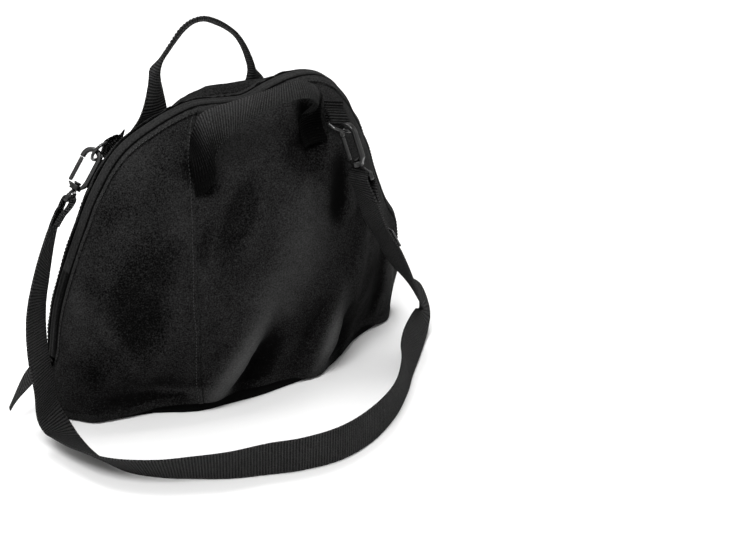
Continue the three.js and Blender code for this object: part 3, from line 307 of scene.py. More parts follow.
def makeWorld():
    world = bpy.data.worlds.new("studio")
    bpy.context.scene.world = world
    world.use_nodes = True
    nodes, links = world.node_tree.nodes, world.node_tree.links
    nodes.clear()
    out = nodes.new("ShaderNodeOutputWorld")
    seen = nodes.new("ShaderNodeBackground")
    lit = nodes.new("ShaderNodeBackground")
    rays = nodes.new("ShaderNodeLightPath")
    blend = nodes.new("ShaderNodeMixShader")
    seen.inputs["Strength"].default_value = 1.0
    seen.inputs["Color"].default_value = (1, 1, 1, 1)
    lit.inputs["Strength"].default_value = view["world"]
    lit.inputs["Color"].default_value = (1, 0.995, 0.985, 1)
    links.new(rays.outputs["Is Camera Ray"], blend.inputs["Fac"])
    links.new(lit.outputs[0], blend.inputs[1])
    links.new(seen.outputs[0], blend.inputs[2])
    links.new(blend.outputs[0], out.inputs["Surface"])


def makeFloor():
    bpy.ops.mesh.primitive_plane_add(size=view["floorSize"], location=(0, 0, -0.0005))
    floor = bpy.context.object
    floor.name = "floor"
    bpy.ops.object.transform_apply(location=True)
    paint = bpy.data.materials.new("floorPaper")
    paint.use_nodes = True
    shader = paint.node_tree.nodes["Principled BSDF"]
    tone = view["floorTone"]
    shader.inputs["Base Color"].default_value = (tone, tone, tone, 1)
    shader.inputs["Roughness"].default_value = 0.9
    shader.inputs["Specular IOR Level"].default_value = 0.1
    floor.data.materials.append(paint)


bpy.context.scene.view_settings.view_transform = "Standard"
makeCamera()
makeLamps()
makeWorld()
makeFloor()
print("camera, lamps and floor")

# Finishes


def newGroup(name, inputs, outputs):
    group = bpy.data.node_groups.new(name, "ShaderNodeTree")
    for label, kind, value in inputs:
        socket = group.interface.new_socket(label, in_out="INPUT", socket_type="NodeSocket" + kind)
        if value is not None:
            socket.default_value = value
    for label, kind in outputs:
        group.interface.new_socket(label, in_out="OUTPUT", socket_type="NodeSocket" + kind)
    return group, group.nodes.new("NodeGroupInput"), group.nodes.new("NodeGroupOutput")


def mathNode(tree, operation, *values):
    node = tree.nodes.new("ShaderNodeMath")
    node.operation = operation
    for i, value in enumerate(values):
        if isinstance(value, (int, float)):
            node.inputs[i].default_value = value
        else:
            tree.links.new(value, node.inputs[i])
    return node.outputs[0]


# Two crossing sets of threads: their height and how much of each thread is seen
def makeWeave():
    group, given, out = newGroup(
        "weave",
        [("Place", "Vector", None), ("Pitch", "Float", 0.001), ("Slub", "Float", 0.3)],
        [("Height", "Float"), ("Thread", "Float")],
    )
    wobble = group.nodes.new("ShaderNodeTexNoise")
    wobble.inputs["Scale"].default_value = 90
    group.links.new(given.outputs["Place"], wobble.inputs["Vector"])
    parts = group.nodes.new("ShaderNodeSeparateXYZ")
    group.links.new(given.outputs["Place"], parts.inputs[0])
    turn = mathNode(group, "MULTIPLY", wobble.outputs["Fac"], given.outputs["Slub"])
    waves = []
    for axis in ("X", "Y"):
        count = mathNode(group, "DIVIDE", parts.outputs[axis], given.outputs["Pitch"])
        angle = mathNode(group, "MULTIPLY", mathNode(group, "ADD", count, turn), 2 * pi)
        waves.append(mathNode(group, "SINE", angle))
    cross = mathNode(group, "MULTIPLY", *waves)
    height = mathNode(group, "MULTIPLY_ADD", cross, 0.5, 0.5)
    group.links.new(height, out.inputs["Height"])
    lit = mathNode(group, "MULTIPLY_ADD", mathNode(group, "ABSOLUTE", waves[0]), 0.4, 0.0)
    group.links.new(mathNode(group, "MULTIPLY_ADD", height, 0.6, lit), out.inputs["Thread"])
    return group


# Webbing: ribs across the band, split in small columns that lean a little
def makeRibs():
    group, given, out = newGroup(
        "ribs",
        [("Place", "Vector", None), ("Rib", "Float", 0.0021), ("Column", "Float", 0.0026)],
        [("Height", "Float"), ("Thread", "Float")],
    )
    parts = group.nodes.new("ShaderNodeSeparateXYZ")
    group.links.new(given.outputs["Place"], parts.inputs[0])
    column = mathNode(group, "DIVIDE", parts.outputs["Y"], given.outputs["Column"])
    side = mathNode(group, "PINGPONG", column, 0.5)
    lean = mathNode(group, "MULTIPLY", side, 0.25)
    along = mathNode(group, "DIVIDE", parts.outputs["X"], given.outputs["Rib"])
    count = mathNode(group, "ADD", along, lean)
    wave = mathNode(group, "SINE", mathNode(group, "MULTIPLY", count, 2 * pi))
    rib = mathNode(group, "MULTIPLY_ADD", wave, 0.5, 0.5)
    edge = mathNode(group, "SMOOTH_MIN", mathNode(group, "MULTIPLY_ADD", side, 4, 0.55), 1, 0.3)
    height = mathNode(group, "MULTIPLY", rib, edge)
    group.links.new(height, out.inputs["Height"])
    group.links.new(mathNode(group, "POWER", height, 0.7), out.inputs["Thread"])
    return group


# Uneven tone from nought to one: soft blotches, fine grain and dust specks
def makeDust():
    group, given, out = newGroup(
        "dust",
        [("Place", "Vector", None), ("Blotch", "Float", 18), ("Speck", "Float", 700)],
        [("Tone", "Float"), ("Specks", "Float"), ("Grain", "Float")],
    )
    blotch = group.nodes.new("ShaderNodeTexNoise")
    blotch.inputs["Detail"].default_value = 5
    blotch.inputs["Roughness"].default_value = 0.62
    speck = group.nodes.new("ShaderNodeTexNoise")
    speck.inputs["Detail"].default_value = 2
    for node, name in ((blotch, "Blotch"), (speck, "Speck")):
        group.links.new(given.outputs["Place"], node.inputs["Vector"])
        group.links.new(given.outputs[name], node.inputs["Scale"])
    group.links.new(blotch.outputs["Fac"], out.inputs["Tone"])
    group.links.new(speck.outputs["Fac"], out.inputs["Grain"])
    dots = mathNode(group, "GREATER_THAN", speck.outputs["Fac"], 0.69)
    group.links.new(dots, out.inputs["Specks"])
    return group


weave, ribs, dust = makeWeave(), makeRibs(), makeDust()


def newFinish(name, roughness, sheen=0.0, specular=0.5):
    finish = bpy.data.materials.new(name)
    finish.use_nodes = True
    tree = finish.node_tree
    shader = tree.nodes["Principled BSDF"]
    shader.inputs["Roughness"].default_value = roughness
    shader.inputs["Sheen Weight"].default_value = sheen
    shader.inputs["Sheen Roughness"].default_value = 0.45
    shader.inputs["Specular IOR Level"].default_value = specular
    return finish, tree, shader


def useGroup(tree, group, place, **values):
    node = tree.nodes.new("ShaderNodeGroup")
    node.node_tree = group
    tree.links.new(place, node.inputs["Place"])
    for name, value in values.items():
        node.inputs[name].default_value = value
    return node


def toneRamp(tree, factor, low, high, at=(0.0, 1.0)):
    ramp = tree.nodes.new("ShaderNodeValToRGB")
    for stop, colour, place in zip(ramp.color_ramp.elements, (low, high), at):
        stop.color = (*colour, 1)
        stop.position = place
    tree.links.new(factor, ramp.inputs["Fac"])
    return ramp.outputs["Color"]


def bumpNode(tree, height, strength, distance):
    node = tree.nodes.new("ShaderNodeBump")
    node.inputs["Strength"].default_value = strength
    node.inputs["Distance"].default_value = distance
    tree.links.new(height, node.inputs["Height"])
    return node.outputs["Normal"]


# How strongly each effect shows in the woven finishes, around a middle tone; folds weighs the painted shade
# and highlight kept on the pieces' points
wovenLook = {
    "specular": 0.04, "blotches": 0.7, "folds": 0.5, "specks": 0.1, "grain": 2.2,
    "start": -0.05, "middle": 1.1, "spread": 0.4, "roughBelow": 0.12, "roughSpread": 0.25,
}


# Woven cloth or webbing: threads on the piece's own UV, in metres, over uneven tone, with the painted shade
# and highlight kept on its points
def wovenFinish(name, threads, values, low, high, rough, sheen, threadMix=0.4, bump=0.5, deep=0.0003):
    look = wovenLook
    finish, tree, shader = newFinish(name, rough, sheen, look["specular"])
    place = tree.nodes.new("ShaderNodeUVMap").outputs[0]
    solid = tree.nodes.new("ShaderNodeTexCoord").outputs["Object"]
    cloth = useGroup(tree, threads, place, **values)
    wear = useGroup(tree, dust, solid)
    # Painted shade and highlight, kept on the piece's points
    folded = tree.nodes.new("ShaderNodeAttribute")
    folded.attribute_name = "paintedShading"
    base = mathNode(tree, "MULTIPLY_ADD", wear.outputs["Tone"], look["blotches"], look["start"])
    base = mathNode(tree, "MULTIPLY_ADD", folded.outputs["Fac"], look["folds"], base)
    base = mathNode(tree, "MULTIPLY_ADD", cloth.outputs["Thread"], threadMix, base)
    base = mathNode(tree, "MULTIPLY_ADD", wear.outputs["Specks"], look["specks"], base)
    base = mathNode(tree, "SUBTRACT", base, look["middle"])
    base = mathNode(tree, "MULTIPLY_ADD", wear.outputs["Grain"], look["grain"], base)
    base = mathNode(tree, "MULTIPLY", base, look["spread"])
    tree.links.new(toneRamp(tree, base, low, high), shader.inputs["Base Color"])
    roughLow = rough - look["roughBelow"]
    grain = mathNode(tree, "MULTIPLY_ADD", wear.outputs["Tone"], look["roughSpread"], roughLow)
    tree.links.new(grain, shader.inputs["Roughness"])
    tree.links.new(bumpNode(tree, cloth.outputs["Height"], bump, deep), shader.inputs["Normal"])
    return finish


def plasticFinish(name, low, high, rough, coat=0.0, metallic=0.0, scale=60, deep=0.00012):
    finish, tree, shader = newFinish(name, rough, 0, 0.45)
    shader.inputs["Coat Weight"].default_value = coat
    shader.inputs["Metallic"].default_value = metallic
    solid = tree.nodes.new("ShaderNodeTexCoord").outputs["Object"]
    wear = useGroup(tree, dust, solid, Blotch=scale, Speck=2600)
    tone = toneRamp(tree, wear.outputs["Tone"], low, high, (0.3, 0.75))
    tree.links.new(tone, shader.inputs["Base Color"])
    grain = mathNode(tree, "MULTIPLY_ADD", wear.outputs["Tone"], 0.3, rough - 0.15)
    tree.links.new(grain, shader.inputs["Roughness"])
    fine = tree.nodes.new("ShaderNodeTexNoise")
    fine.inputs["Scale"].default_value = 1500
    tree.links.new(solid, fine.inputs["Vector"])
    tree.links.new(bumpNode(tree, fine.outputs["Fac"], 0.25, deep), shader.inputs["Normal"])
    return finish


def grey(tone):
    return tone, tone, tone


finishes = {
    "cloth": wovenFinish(
        "clothFinish", weave, {"Pitch": 0.0014, "Slub": 0.35},
        grey(0.0004), grey(0.062), 0.86, 0.008,
    ),
    "webbing": wovenFinish(
        "webbingFinish", ribs, {"Rib": 0.0029, "Column": 0.0034},
        grey(0.0003), grey(0.062), 0.8, 0.008, threadMix=1.1, bump=1.0, deep=0.0014,
    ),
    "tape": wovenFinish(
        "tapeFinish", weave, {"Pitch": 0.0009, "Slub": 0.1},
        grey(0.001), grey(0.05), 0.7, 0.03,
    ),
    "coil": plasticFinish("coilFinish", grey(0.004), grey(0.014), 0.5),
    "plastic": plasticFinish("plasticFinish", grey(0.0015), grey(0.005), 0.34, coat=0.1),
    "metal": plasticFinish("metalFinish", grey(0.3), grey(0.55), 0.3, metallic=1.0),
    "darkMetal": plasticFinish(
        "ringFinish", grey(0.02), grey(0.06), 0.28, coat=0.2, metallic=0.6
    ),
    "thread": plasticFinish("threadFinish", grey(0.0008), grey(0.003), 0.6),
}
print("finishes")

# Tools for making pieces


def gridPiece(name, columns, rows, place, metres):
    bpy.ops.object.select_all(action="DESELECT")
    bpy.ops.mesh.primitive_grid_add(x_subdivisions=columns, y_subdivisions=rows, size=2)
    piece = bpy.context.object
    piece.name = name
    mesh = piece.data
    flat = np.empty(len(mesh.vertices) * 3)
    mesh.vertices.foreach_get("co", flat)
    flat = flat.reshape(-1, 3)
    u, v = (flat[:, 0] + 1) / 2, (flat[:, 1] + 1) / 2
    spots, tone = place(u, v)
    mesh.vertices.foreach_set("co", spots.ravel())
    # The tone of painted shade and highlight, kept per point
    layer = mesh.attributes.new("paintedShading", "FLOAT", "POINT")
    layer.data.foreach_set("value", tone)
    corners = np.empty(len(mesh.loops), int)
    mesh.loops.foreach_get("vertex_index", corners)
    uv = np.stack([u * metres[0], v * metres[1]], axis=1)[corners]
    mesh.uv_layers[0].data.foreach_set("uv", uv.ravel())
    mesh.update()
    return piece


def pick(piece):
    bpy.ops.object.select_all(action="DESELECT")
    piece.select_set(True)
    bpy.context.view_layer.objects.active = piece


def applyModifier(piece, kind, **values):
    pick(piece)
    modifier = piece.modifiers.new(kind.lower(), kind)
    for name, value in values.items():
        setattr(modifier, name, value)
    bpy.ops.object.modifier_apply(modifier=modifier.name)


def finishPiece(piece, finish, body, nodes=(), angle=40):
    pick(piece)
    bpy.ops.object.shade_smooth_by_angle(angle=radians(angle))
    piece.data.materials.clear()
    piece.data.materials.append(finishes[finish])
    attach(piece, body)
    if nodes:
        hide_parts(*nodes)
    return piece


# Normals of a grid of points, columns first
def gridNormals(points, side):
    along = np.gradient(points, axis=0)
    rise = np.gradient(points, axis=1)
    return unit(np.cross(along, rise)) * (1 if side == front else -1)


def lumps(points, scale, height):
    flat = points.reshape(-1, 3)
    value = [noise.fractal(Vector(p) * scale, 0.8, 2.0, 3) for p in flat]
    return np.array(value).reshape(points.shape[:-1]) * height


# The cloth panels

panelShape = {
    "hemBand": 0.0085, "hemRise": 0.0012, "dipDeep": 0.0006, "dipWide": 0.0012,
    "edgeWide": 0.0016, "edgeDeep": 0.0008, "lowBand": 0.011, "lowRise": 0.0005,
    "seamBand": 0.0065, "seamRise": 0.0009, "seamGap": 0.0008, "flapEdgeWide": 0.0012,
    "flapEdgeDeep": 0.0006, "flapLineWide": 0.001, "flapLineDeep": 0.0004,
    "grooveWide": 0.002, "grooveDeep": 0.0008, "rowsCloser": 0.45, "stepAt": 0.85,
    "puckerStep": 0.011, "puckerDrift": 0.03, "puckerWide": 0.012, "puckerRise": 0.00035,
    "waveWide": 0.016, "waveRise": 0.0006, "waves": 55, "waveDrift": 17,
    "lumpScale": 22, "lumpRise": 0.0018, "calmFrom": 0.93,
}
# Painted shade and highlight on the cloth: how much the relief darkens and pales it, how much the hem band
# and low band are paled, how much the rounded edge and the stitch dip are darkened, and how much painted
# shade darkens it towards the floor
clothPaintedShading = {
    "folds": 1.3, "rise": 0.005, "darkest": -0.75, "palest": 1.6, "hem": 0.5, "low": 0.3,
    "edge": 1500, "stitchDipShade": 0.8, "floor": 0.7, "floorFrom": 0.1, "floorTo": 0.7, "ridgeHighlights": 700,
}
# How far the seam swings to the right of its place, from floor to zip
seamBow = [
    (0.0, 0.08), (0.05, 0.067), (0.12, 0.046), (0.2, 0.03), (0.4, 0.007), (0.6, 0.009), (0.8, 0.025),
    (0.9, 0.038), (0.95, 0.07), (0.975, 0.095), (1.0, 0.125),
]


def seamAt(t):
    return bag["seamPlace"] + np.interp(t, [row[0] for row in seamBow], [row[1] for row in seamBow])


# Rows lie closer together near the floor and the zip
def rowShare(v):
    return mix(v, 0.5 - 0.5 * np.cos(pi * v), panelShape["rowsCloser"])


def bottomShare(side, s):
    lift = readCurve("hemLift", s) if side == front else bag["rearLift"]
    topHeight = shell(side, s, np.ones_like(s))[..., 2]
    return bag["floorGap"] / bag["height"] + lift * bag["rimHeight"] / topHeight


# How deep the dents go, and how much painted shade darkens them
def dentDepth(points, side):
    depth, shade = np.zeros(points.shape[:-1]), np.zeros(points.shape[:-1])
    for x, z, turn, length, width, deep, dark in dents if side == front else []:
        dx, dz = points[..., 0] - x, points[..., 2] - z
        c, n = cos(radians(turn)), sin(radians(turn))
        near = np.exp(-(((dz * c - dx * n) / length) ** 4) - ((dx * c + dz * n) / width) ** 2)
        depth, shade = depth + near * deep, shade + near * dark
    return depth, shade


# A turned-in flap on the seam's left side, a groove on its right, and the puckers that its thread pulls
def seamRelief(points, fromLow, seamEnd):
    shape = panelShape
    across = np.linalg.norm(np.diff(points, axis=0), axis=2)
    run = np.concatenate([np.zeros((1, points.shape[1])), np.cumsum(across, axis=0)], axis=0)
    away = run if seamEnd == 0 else run[-1:] - run
    if seamEnd == 1:
        flap = 1 - smoothStep(shape["seamBand"] * shape["stepAt"], shape["seamBand"], away)
        edge = 1 - smoothStep(0, shape["flapEdgeWide"], away)
        line = np.exp(-(((away - shape["seamBand"]) / shape["flapLineWide"]) ** 2))
        relief = flap * shape["seamRise"] - edge * shape["flapEdgeDeep"] - line * shape["flapLineDeep"]
    else:
        relief = (smoothStep(0, shape["grooveWide"], away) - 1) * shape["grooveDeep"]
    drift = 2 * np.sin(fromLow / shape["puckerDrift"])
    pucker = np.sin(fromLow / shape["puckerStep"] * 2 * pi + drift)
    return relief + pucker * np.exp(-((away / shape["puckerWide"]) ** 2)) * shape["puckerRise"]


# The panel's points, columns first, with fine relief along the normals, and its tone of painted shade and
# highlight
def panelPoints(side, startAt, endAt, columns, rows, seamEnd=None):
    shape, look = panelShape, clothPaintedShading
    u = np.linspace(0, 1, columns)[:, None]
    v = np.linspace(0, 1, rows)[None, :]
    share = rowShare(v)
    s = mix(startAt(share), endAt(share), u)
    t = mix(bottomShare(side, s), 1, share)
    points = shell(side, s, t)
    x, z = points[..., 0], points[..., 2]
    normals = gridNormals(points, side)
    step = np.linalg.norm(np.diff(points, axis=1), axis=2)
    fromLow = np.concatenate([np.zeros((columns, 1)), np.cumsum(step, axis=1)], axis=1)
    fromTop = fromLow[:, -1:] - fromLow
    ends = 1 - smoothStep(shape["calmFrom"], 1, abs(s))
    calm = (1 - smoothStep(shape["calmFrom"], 1, t)) * ends
    crease = foldHeight(creases, side, x, z) * calm
    soft = lumps(points, shape["lumpScale"], shape["lumpRise"]) * calm
    dent, shade = dentDepth(points, side)
    band = 1 - smoothStep(shape["hemBand"] * 0.82, shape["hemBand"], fromTop)
    dip = np.exp(-(((fromTop - shape["hemBand"] * 1.02) / shape["dipWide"]) ** 2))
    rounded = (1 - smoothStep(0, shape["edgeWide"], fromTop)) * shape["edgeDeep"]
    low = 1 - smoothStep(shape["lowBand"] * shape["stepAt"], shape["lowBand"], fromLow)
    relief = band * shape["hemRise"] - dip * shape["dipDeep"] - rounded + low * shape["lowRise"]
    if seamEnd is not None:
        relief = relief + seamRelief(points, fromLow, seamEnd)
    wave = np.sin(s * shape["waves"] + 3 * np.sin(s * shape["waveDrift"])) * ends
    relief = relief + wave * np.exp(-((fromTop / shape["waveWide"]) ** 2)) * shape["waveRise"]
    folded = foldHeight(folds, side, x, z) * foldCalm(t)
    height = folded * look["folds"] + crease + soft
    # Painted shade and highlight: fold hollows darker and crests paler, the raised hem band and low band
    # paler, the rounded edge by the zip, the stitch dip and the dents darker, darker towards the floor, and
    # the fold ridges paler
    tone = np.clip(height / look["rise"], look["darkest"], look["palest"])
    tone = tone + band * look["hem"] + low * look["low"] - rounded * look["edge"] - dip * look["stitchDipShade"]
    tone = tone - shade - look["floor"] * (1 - smoothStep(look["floorFrom"], look["floorTo"], t))
    tone = tone + foldHeight(ridgeHighlights, side, x, z) * look["ridgeHighlights"]
    points = points + normals * (crease + soft + relief - dent)[..., None]
    return points, normals, tone, fromLow, fromTop


def clothPanel(name, side, startAt, endAt, columns, rows, nodes, seamEnd=None):
    points, normals, tone, fromLow, fromTop = panelPoints(
        side, startAt, endAt, columns, rows, seamEnd
    )

    def place(u, v):
        i = np.rint(u * (columns - 1)).astype(int)
        j = np.rint(v * (rows - 1)).astype(int)
        if side == rear:
            i = columns - 1 - i
        return points[i, j], tone[i, j]

    wide = runAlong(points[:, rows // 3])[-1]
    piece = gridPiece(name, columns - 1, rows - 1, place, (wide, fromLow[columns // 2, -1]))
    applyModifier(piece, "SOLIDIFY", thickness=bag["clothThick"], offset=-1)
    finishPiece(piece, "cloth", "bag", nodes)
    return points, normals, fromTop


# A panel's end: at one place all the way up, or beside the seam
def straightEnd(place):
    return lambda share: np.full_like(share, place)


def seamEndAt(gap):
    return lambda share: seamAt(share) + gap


frontCloth = clothPanel(
    "frontCloth", front, seamEndAt(panelShape["seamGap"]), straightEnd(1.0), 230, 150,
    ["front_panel"], 0,
)
sideCloth = clothPanel(
    "frontSideCloth", front, straightEnd(-1.0), seamEndAt(-panelShape["seamGap"]), 110, 150,
    ["front_side_panel"], 1,
)
rearCloth = clothPanel(
    "rearCloth", rear, straightEnd(-1.0), straightEnd(1.0), 230, 130, ["back_panel"]
)
print("panels")


# A copy of a CAD node, its doubles merged
def cadCopy(node, name):
    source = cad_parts[node]
    copy = bpy.data.objects.new(name, source.data.copy())
    bpy.context.collection.objects.link(copy)
    pick(copy)
    bpy.ops.object.mode_set(mode="EDIT")
    bpy.ops.mesh.select_all(action="SELECT")
    bpy.ops.mesh.remove_doubles(threshold=0.00002)
    bpy.ops.mesh.normals_make_consistent(inside=False)
    bpy.ops.object.mode_set(mode="OBJECT")
    return copy


# UV in metres from the place itself, for a small piece without a path
def flatPiece(piece):
    mesh = piece.data
    layer = mesh.uv_layers.active or mesh.uv_layers.new(name="UVMap")
    spots = np.empty(len(mesh.vertices) * 3)
    mesh.vertices.foreach_get("co", spots)
    spots = spots.reshape(-1, 3)
    corners = np.empty(len(mesh.loops), int)
    mesh.loops.foreach_get("vertex_index", corners)
    uv = np.stack([spots[:, 0], spots[:, 1] + spots[:, 2]], axis=1)[corners]
    layer.data.foreach_set("uv", uv.ravel())


tray = {"bevel": 0.0008, "tone": -2.2}  # its rim lies in the hem's shade


def basePiece():
    piece = cadCopy("base_panel", "baseTray")
    turn = radians(50)
    applyModifier(
        piece, "BEVEL", width=tray["bevel"], segments=2, limit_method="ANGLE", angle_limit=turn
    )
    flatPiece(piece)
    layer = piece.data.attributes.new("paintedShading", "FLOAT", "POINT")
    layer.data.foreach_set("value", np.full(len(piece.data.vertices), tray["tone"]))
    finishPiece(piece, "cloth", "bag", ["base_panel"])


basePiece()
print("base")

# Ribbons of webbing


# A band through rows of three points, from one edge over the middle to the other, made smooth along
def ribbon(name, edges, thick, columns, step, node, wide, paintedShades=None):
    rows = np.asarray(edges, float)
    places = []
    for i in range(len(rows) - 1):
        count = max(1, round(np.linalg.norm(rows[i + 1, 1] - rows[i, 1]) / step))
        places += [i + k / count for k in range(count)]
    places = np.array(places + [len(rows) - 1], float)
    a, m, b = (smoothLine(rows[:, k], places) for k in range(3))
    # Painted shade and highlight, given per row for the lower and the upper edge
    paintedShades = np.zeros((len(rows), 1)) if paintedShades is None else np.reshape(paintedShades, (len(rows), -1))
    shades = [np.interp(places, range(len(rows)), column) for column in paintedShades.T]
    run = runAlong(m)

    def place(u, v):
        i = np.rint(u * (len(places) - 1)).astype(int)
        w = (2 * v - 1)[:, None]
        spot = a[i] * (w * w - w) / 2 + m[i] * (1 - w * w) + b[i] * (w * w + w) / 2
        lowShade, highShade = shades[0][i], shades[-1][i]
        return spot, lowShade + (highShade - lowShade) * v

    piece = gridPiece(name, len(places) - 1, columns, place, (run[-1], wide))
    applyModifier(piece, "SOLIDIFY", thickness=thick, offset=0)
    finishPiece(piece, "webbing", "bag", [node])
    return a, m, b, run


def squareTo(across, along):
    return unit(across - along * np.sum(across * along, axis=-1, keepdims=True))


# Middles and ways across turned to rows of edge, middle and edge
def bandRows(middles, acrosses, width):
    middles, acrosses = np.asarray(middles, float), np.asarray(acrosses, float)
    side = squareTo(acrosses, unit(np.gradient(middles, axis=0)))
    return np.stack([middles - side * width / 2, middles, middles + side * width / 2], axis=1)


# The ring's bar in mm, the way its tab runs, across it and out from the cloth, then the hook's bar in mm,
# the way the strap leaves it and the way across the strap there
anchors = {
    "front": {
        "bar": (107.9, -49.9, 268.6), "down": (-0.191, -0.639, -0.745), "across": (-0.937, -0.106, 0.332),
        "outward": (0.291, -0.762, 0.579),
        "strapBar": (114.9, -81.6, 219.8), "aim": (0.1294, -0.3285, -0.9356),
        "loopAcross": (-0.094, -0.943, 0.318),
    },
    "rear": {
        "bar": (-112.2, 36.8, 267.4), "down": (-0.954, -0.147, -0.26), "across": (0.128, 0.584, -0.801),
        "outward": (-0.27, 0.798, 0.539),
        "strapBar": (-158.2, 32.9, 226), "aim": (-0.6211, -0.0601, -0.7814),
        "loopAcross": (-0.514, -0.722, 0.464),
    },
}
for anchor in anchors.values():
    for key in anchor:
        scale = 0.001 if key in ("bar", "strapBar") else 1
        anchor[key] = np.array(anchor[key]) * scale

strap = {"width": 0.04, "thick": 0.0018, "tail": 0.030, "barRadius": 0.00296, "gap": 0.0003}
# Middle of the webbing in mm and the way across it, from the front hook round the floor to the rear hook
strapRoute = [
    (125.8, -89.4, 168.3, 0.038, -0.997, 0.065), (141.1, -90.7, 138.6, 0.081, -0.996, 0.04),
    (154.2, -89.4, 111.2, 0.068, -0.998, -0.011), (166.6, -88.2, 87, -0.064, -0.994, -0.084),
    (179.3, -84, 67.5, -0.4, -0.85, 0.1), (190, -75, 55.5, -0.56, -0.68, 0.42),
    (199.5, -69.5, 43.5, -0.66, -0.472, 0.586), (199.3, -75.5, 31.6, -0.73, -0.433, 0.529),
    (193.5, -81, 24.5, -0.7, -0.35, 0.6), (184, -88.5, 21.5, -0.5, -0.1, 0.85),
    (158, -111, 20.6, -0.26, 0.25, 0.93), (135.6, -133.7, 20.6, -0.2, 0.2, 0.95),
    (116, -157.5, 20.7, -0.1, 0.1, 0.98), (79.5, -191, 21, 0, 0, 1), (33, -215.3, 21, 0, 0, 1),
    (-10.7, -224.6, 21, 0, -0.03, 1), (-52.4, -218.7, 20.9, -0.025, -0.093, 0.995),
    (-82.9, -207, 20.7, -0.055, -0.125, 0.991), (-119.5, -193.5, 20, -0.144, -0.255, 0.956),
    (-149.8, -175.7, 19, -0.25, -0.34, 0.906), (-176.5, -157.4, 17.8, -0.379, -0.376, 0.845),
    (-205, -125.8, 16, -0.591, -0.287, 0.754), (-218.5, -82.8, 13.1, -0.78, -0.141, 0.61),
    (-221.6, -48.3, 13.4, -0.882, -0.177, 0.438), (-223.7, -36.6, 19.5, -0.884, -0.428, 0.19),
    (-228, -27.6, 34.2, -0.842, -0.54, 0.006), (-230.3, -26.4, 68.8, -0.804, -0.592, 0.046),
    (-230.3, -19, 99.8, -0.802, -0.556, 0.219), (-223.7, -8.8, 138.9, -0.783, -0.552, 0.286),
    (-211.1, -4.8, 179.5, -0.721, -0.63, 0.289),
]


# The strap's end: a tail under it, a turn round the hook's bar and the first stretch away
def strapEnd(anchor):
    radius = strap["barRadius"] + strap["gap"] + strap["thick"] / 2
    thick, tail = strap["thick"], strap["tail"]
    face = np.cross(anchor["aim"], anchor["loopAcross"])
    # How far from the bar, and how far out of the strap's plane
    rows = [(tail, -thick * 0.7), (tail * 0.55, -thick), (0.009, -radius + 0.0006), (0.0035, -radius)]
    rows += [(-sin(k * pi / 6) * radius, -cos(k * pi / 6) * radius) for k in range(7)]
    rows += [(0.0035, radius), (0.01, radius - 0.0006), (0.024, thick * 0.7 + 0.0004)]
    return [anchor["strapBar"] + anchor["aim"] * away + face * height for away, height in rows]


def strapPiece():
    starts, ends = strapEnd(anchors["front"]), strapEnd(anchors["rear"])[::-1]
    route = np.array(strapRoute)
    middles = np.vstack([starts, route[:, :3] / 1000, ends])
    acrosses = np.vstack([
        np.tile(anchors["front"]["loopAcross"], (len(starts), 1)), route[:, 3:],
        np.tile(anchors["rear"]["loopAcross"], (len(ends), 1)),
    ])
    edges = bandRows(middles, acrosses, strap["width"])
    ribbon("strapWebbing", edges, strap["thick"], 10, 0.0035, "shoulder_strap", strap["width"])


strapPiece()
print("strap")

# The front handle's rows in mm: lower edge, middle and upper edge, from the seam to its right foot
frontHandleRows = [
    ((-62, -51, 236.1), (-62.7, -47, 270), (-52.4, -27, 278.5)),
    ((-51, -56, 242.7), (-56.5, -58, 278.2), (-53.8, -32, 290.7)),
    ((-44.7, -60, 260.2), (-53.1, -64, 286.2), (-52.2, -38, 306.9)),
    ((-45.9, -61, 275.3), (-49.2, -62, 297.3), (-48, -43, 319.5)),
    ((-41, -63, 288.8), (-43.1, -62, 307.4), (-37.7, -47, 324.7)),
    ((-29.2, -65, 299.3), (-27.5, -63, 314.2), (-21.8, -51, 327.3)),
    ((-8.2, -67, 312.6), (-3.2, -65, 322.3), (7.5, -54, 329.1)),
    ((27.3, -68, 319.4), (28.8, -66, 326.9), (34.8, -57, 332.6)),
    ((56.7, -68, 317.8), (55.8, -66, 327.1), (57, -59, 332.8)),
    ((68.7, -66, 311.6), (69.6, -63, 320), (68.3, -58, 327.2)),
    ((74, -64, 303), (79.3, -58, 309.3), (83, -48, 314)),
    ((74, -53, 291), (84, -46, 297), (95, -41, 300)),
    ((70, -38, 281), (84, -34, 283), (97, -35, 284)),
    ((68, -38, 270), (82, -34, 270), (96, -37, 270)),
    ((67, -50, 252), (82, -46, 252), (96, -49, 252)),
]
# Painted shade and highlight on the front handle: how much darker or paler it is at its lower and its upper
# edge
frontHandleShading = [
    (-3, -3), (-3, -2.6), (-3, -1), (-2.8, 0.6), (-1.6, 0.9), (-0.4, 0.8), (0.2, 0.5), (0.4, 0.5),
    (0.4, 0.4), (0, 0.2), (-1, -0.6), (-2, -2), (-3, -3), (-3, -3), (-3, -3),
]
